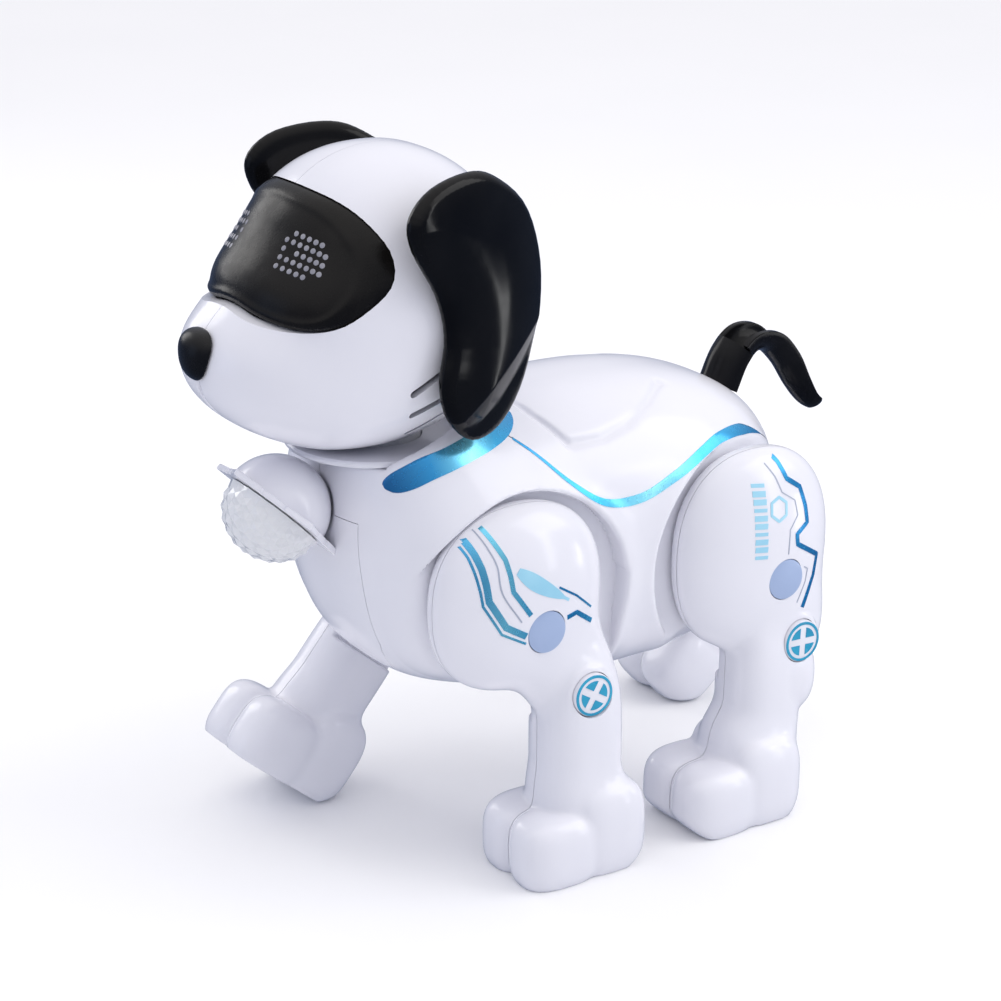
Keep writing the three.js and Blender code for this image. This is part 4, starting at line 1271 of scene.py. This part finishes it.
def leg_kit(kind):
    """Every piece of one kind of left leg, as (stem, material, slot, piece, replaced node stem)."""
    skin = leg_skin(kind)
    outer = cut(copy_of(skin, "outer"), leg_half("outside", LEG_PLANE + SEAM, 90), "INTERSECT")
    inner = cut(skin, leg_half("inside", 0, LEG_PLANE - SEAM), "INTERSECT")
    plate, mark = badge_parts(LEGS[kind]["badge"], math.radians(32 if kind == "front" else 2))
    cap = disc("cap", 7.0, 57.7, 59.0, (0, 0), 0.3)
    kit = [
        ("leg_outer_skin", WHITE, "white_shell", outer, "leg_outer"),
        ("leg_inner_skin", WHITE, "white_shell", inner, "leg_inner"),
        ("hip_cap_skin", LILAC, "lilac_cap", cap, "hip_cap"),
        ("knee_badge_skin", WHITE, "badge", plate, "knee_badge"),
        ("knee_badge_print", TEAL, "badge", mark, None),
    ]
    for material, slot, piece in front_trim() if kind == "front" else rear_trim():
        kit.append((piece.name.split("_", 1)[1] + "_trim", material, slot, piece, None))
    return kit


def place_leg(kit, kind, side, swing):
    """One leg's pieces, mirrored for the right side and swung forward about the hip."""
    forward, up = LEGS[kind]["hip"]
    label = f"{kind}_{side}"
    pose = Matrix.Translation(place(0, forward, up)) @ Matrix.Rotation(math.radians(-swing), 4, "X")
    for stem, material, slot, piece, node in kit:
        name = f"{stem}_{label}"
        copy = copy_of(piece, name) if side == "left" else mirror_copy(piece, name)
        copy.data.transform(pose)
        finish_piece(copy, material, f"leg_{label}", slot, *([f"{node}_{label}"] if node else []))


def leg_pieces():
    for kind in LEGS:
        kit = leg_kit(kind)
        place_leg(kit, kind, "left", 0)
        place_leg(kit, kind, "right", LEGS[kind]["stride"])
        discard(*[piece for _, _, _, piece, _ in kit])


# ---------------------------------------------------------------- charging socket, and what stays from CAD
def charge_socket():
    """A barrel socket in the belly: a ring, closed at the back, round a pin."""
    profile = [(1.6, 57.9), (2.8, 57.4), (3.4, 57.8), (3.4, 68), (1.6, 68)]
    ring = lathe("socket", profile, lambda u, v, h: (u, SOCKET + v, h), 48)
    cut(ring, rod("back", 3.3, 66, 67.8, 2, (0, SOCKET)), "UNION")
    cut(ring, rod("pin", 0.7, 58.6, 67.5, 2, (0, SOCKET)), "UNION")
    finish_piece(ring, SATIN, "root", "black_gloss", "charge_socket")


def keep_cad_nodes():
    """Finishes for the CAD pieces that are shown as they are."""
    looks = {
        "main_board": BOARD, "eye_board": BOARD, "lamp_board": BOARD, "battery_pack": WRAP, "speaker": CONE,
        "neck_post": NYLON, "hip_gear": NYLON, "pinion": NYLON, "hip_motor": STEEL, "power_switch": SATIN,
    }
    for name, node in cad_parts.items():
        for stem, material in looks.items():
            if name.startswith(stem):
                node.data.materials.clear()
                node.data.materials.append(material)


# ---------------------------------------------------------------- stage, lights and camera
def stage():
    mesh = bpy.data.meshes.new("floor")
    size = 6.0
    corners = [(-size, -size, 0), (size, -size, 0), (size, size, 0), (-size, size, 0)]
    mesh.from_pydata(corners, [], [(0, 1, 2, 3)])
    floor = put("floor", mesh)
    material, principled = shader("floor_paper", (0.93, 0.93, 0.94), 0.8)
    uneven_gloss(material, principled, 8, 0.65, 0.75)
    mesh.materials.append(material)
    floor.visible_glossy = False  # so that the black pieces don't mirror the white floor


def area_light(name, spot, aim, size, power, color=(1, 1, 1)):
    """A rectangular light. Places and sizes are in metres, in the row's axes, and its power is in watts."""
    data = bpy.data.lights.new(name, "AREA")
    data.shape = "RECTANGLE"
    data.size, data.size_y = size
    data.energy = power
    data.color = color
    light = put(name, data)
    light.location = spot
    light.rotation_mode = "QUATERNION"
    light.rotation_quaternion = (Vector(aim) - Vector(spot)).to_track_quat("-Z", "Y")


def lights():
    world = bpy.data.worlds.new("studio")
    world.use_nodes = True
    nodes, links = world.node_tree.nodes, world.node_tree.links
    background = nodes["Background"]
    background.inputs["Strength"].default_value = 1.42
    # the sky is a soft overhead box: dim blue at the horizon and below it, bright overhead
    direction = nodes.new("ShaderNodeTexCoord")
    axes = nodes.new("ShaderNodeSeparateXYZ")
    sky = nodes.new("ShaderNodeValToRGB")
    sky.color_ramp.elements[0].color = (0.07, 0.10, 0.18, 1)
    sky.color_ramp.elements[1].color = (1.0, 0.98, 0.98, 1)
    links.new(direction.outputs["Generated"], axes.inputs["Vector"])
    links.new(axes.outputs["Z"], sky.inputs["Fac"])
    links.new(sky.outputs["Color"], background.inputs["Color"])
    bpy.context.scene.world = world
    middle = (0, 0, 0.11)
    area_light("key", (0.6, 0.75, 0.8), middle, (0.8, 0.8), 4.0, (1.0, 0.99, 0.97))
    area_light("tall_strip", (0.95, 0.75, 0.25), middle, (0.10, 0.7), 0.9)
    area_light("far_side", (-0.9, -0.35, 0.5), middle, (0.35, 0.5), 1.6, (1.0, 0.98, 0.95))
    area_light("front_fill", (-0.3, -1.1, 0.3), middle, (0.6, 0.6), 0.5, (0.5, 0.66, 1.0))
    area_light("ear_strip", (0.175, 0.25, 0.077), (0.053, -0.053, 0.197), (0.028, 0.07), 0.03)
    bpy.context.scene.view_settings.view_transform = "Standard"


def camera():
    azimuth, elevation = math.radians(CAMERA["azimuth"]), math.radians(CAMERA["elevation"])
    back = Vector((
        math.sin(azimuth) * math.cos(elevation),
        -math.cos(azimuth) * math.cos(elevation),
        math.sin(elevation),
    ))
    data = bpy.data.cameras.new("camera")
    data.lens = CAMERA["lens"]
    data.sensor_width = 36
    view = put("camera", data)
    view.location = (Vector(CAMERA["target"]) + back * CAMERA["distance"]) / 1000
    view.rotation_mode = "QUATERNION"
    view.rotation_quaternion = (-back).to_track_quat("-Z", "Y")
    bpy.context.scene.camera = view


body_pieces()
neck_ring()
lamp_pieces()
tail()
head_pieces()
leg_pieces()
charge_socket()
keep_cad_nodes()
stage()
lights()
camera()
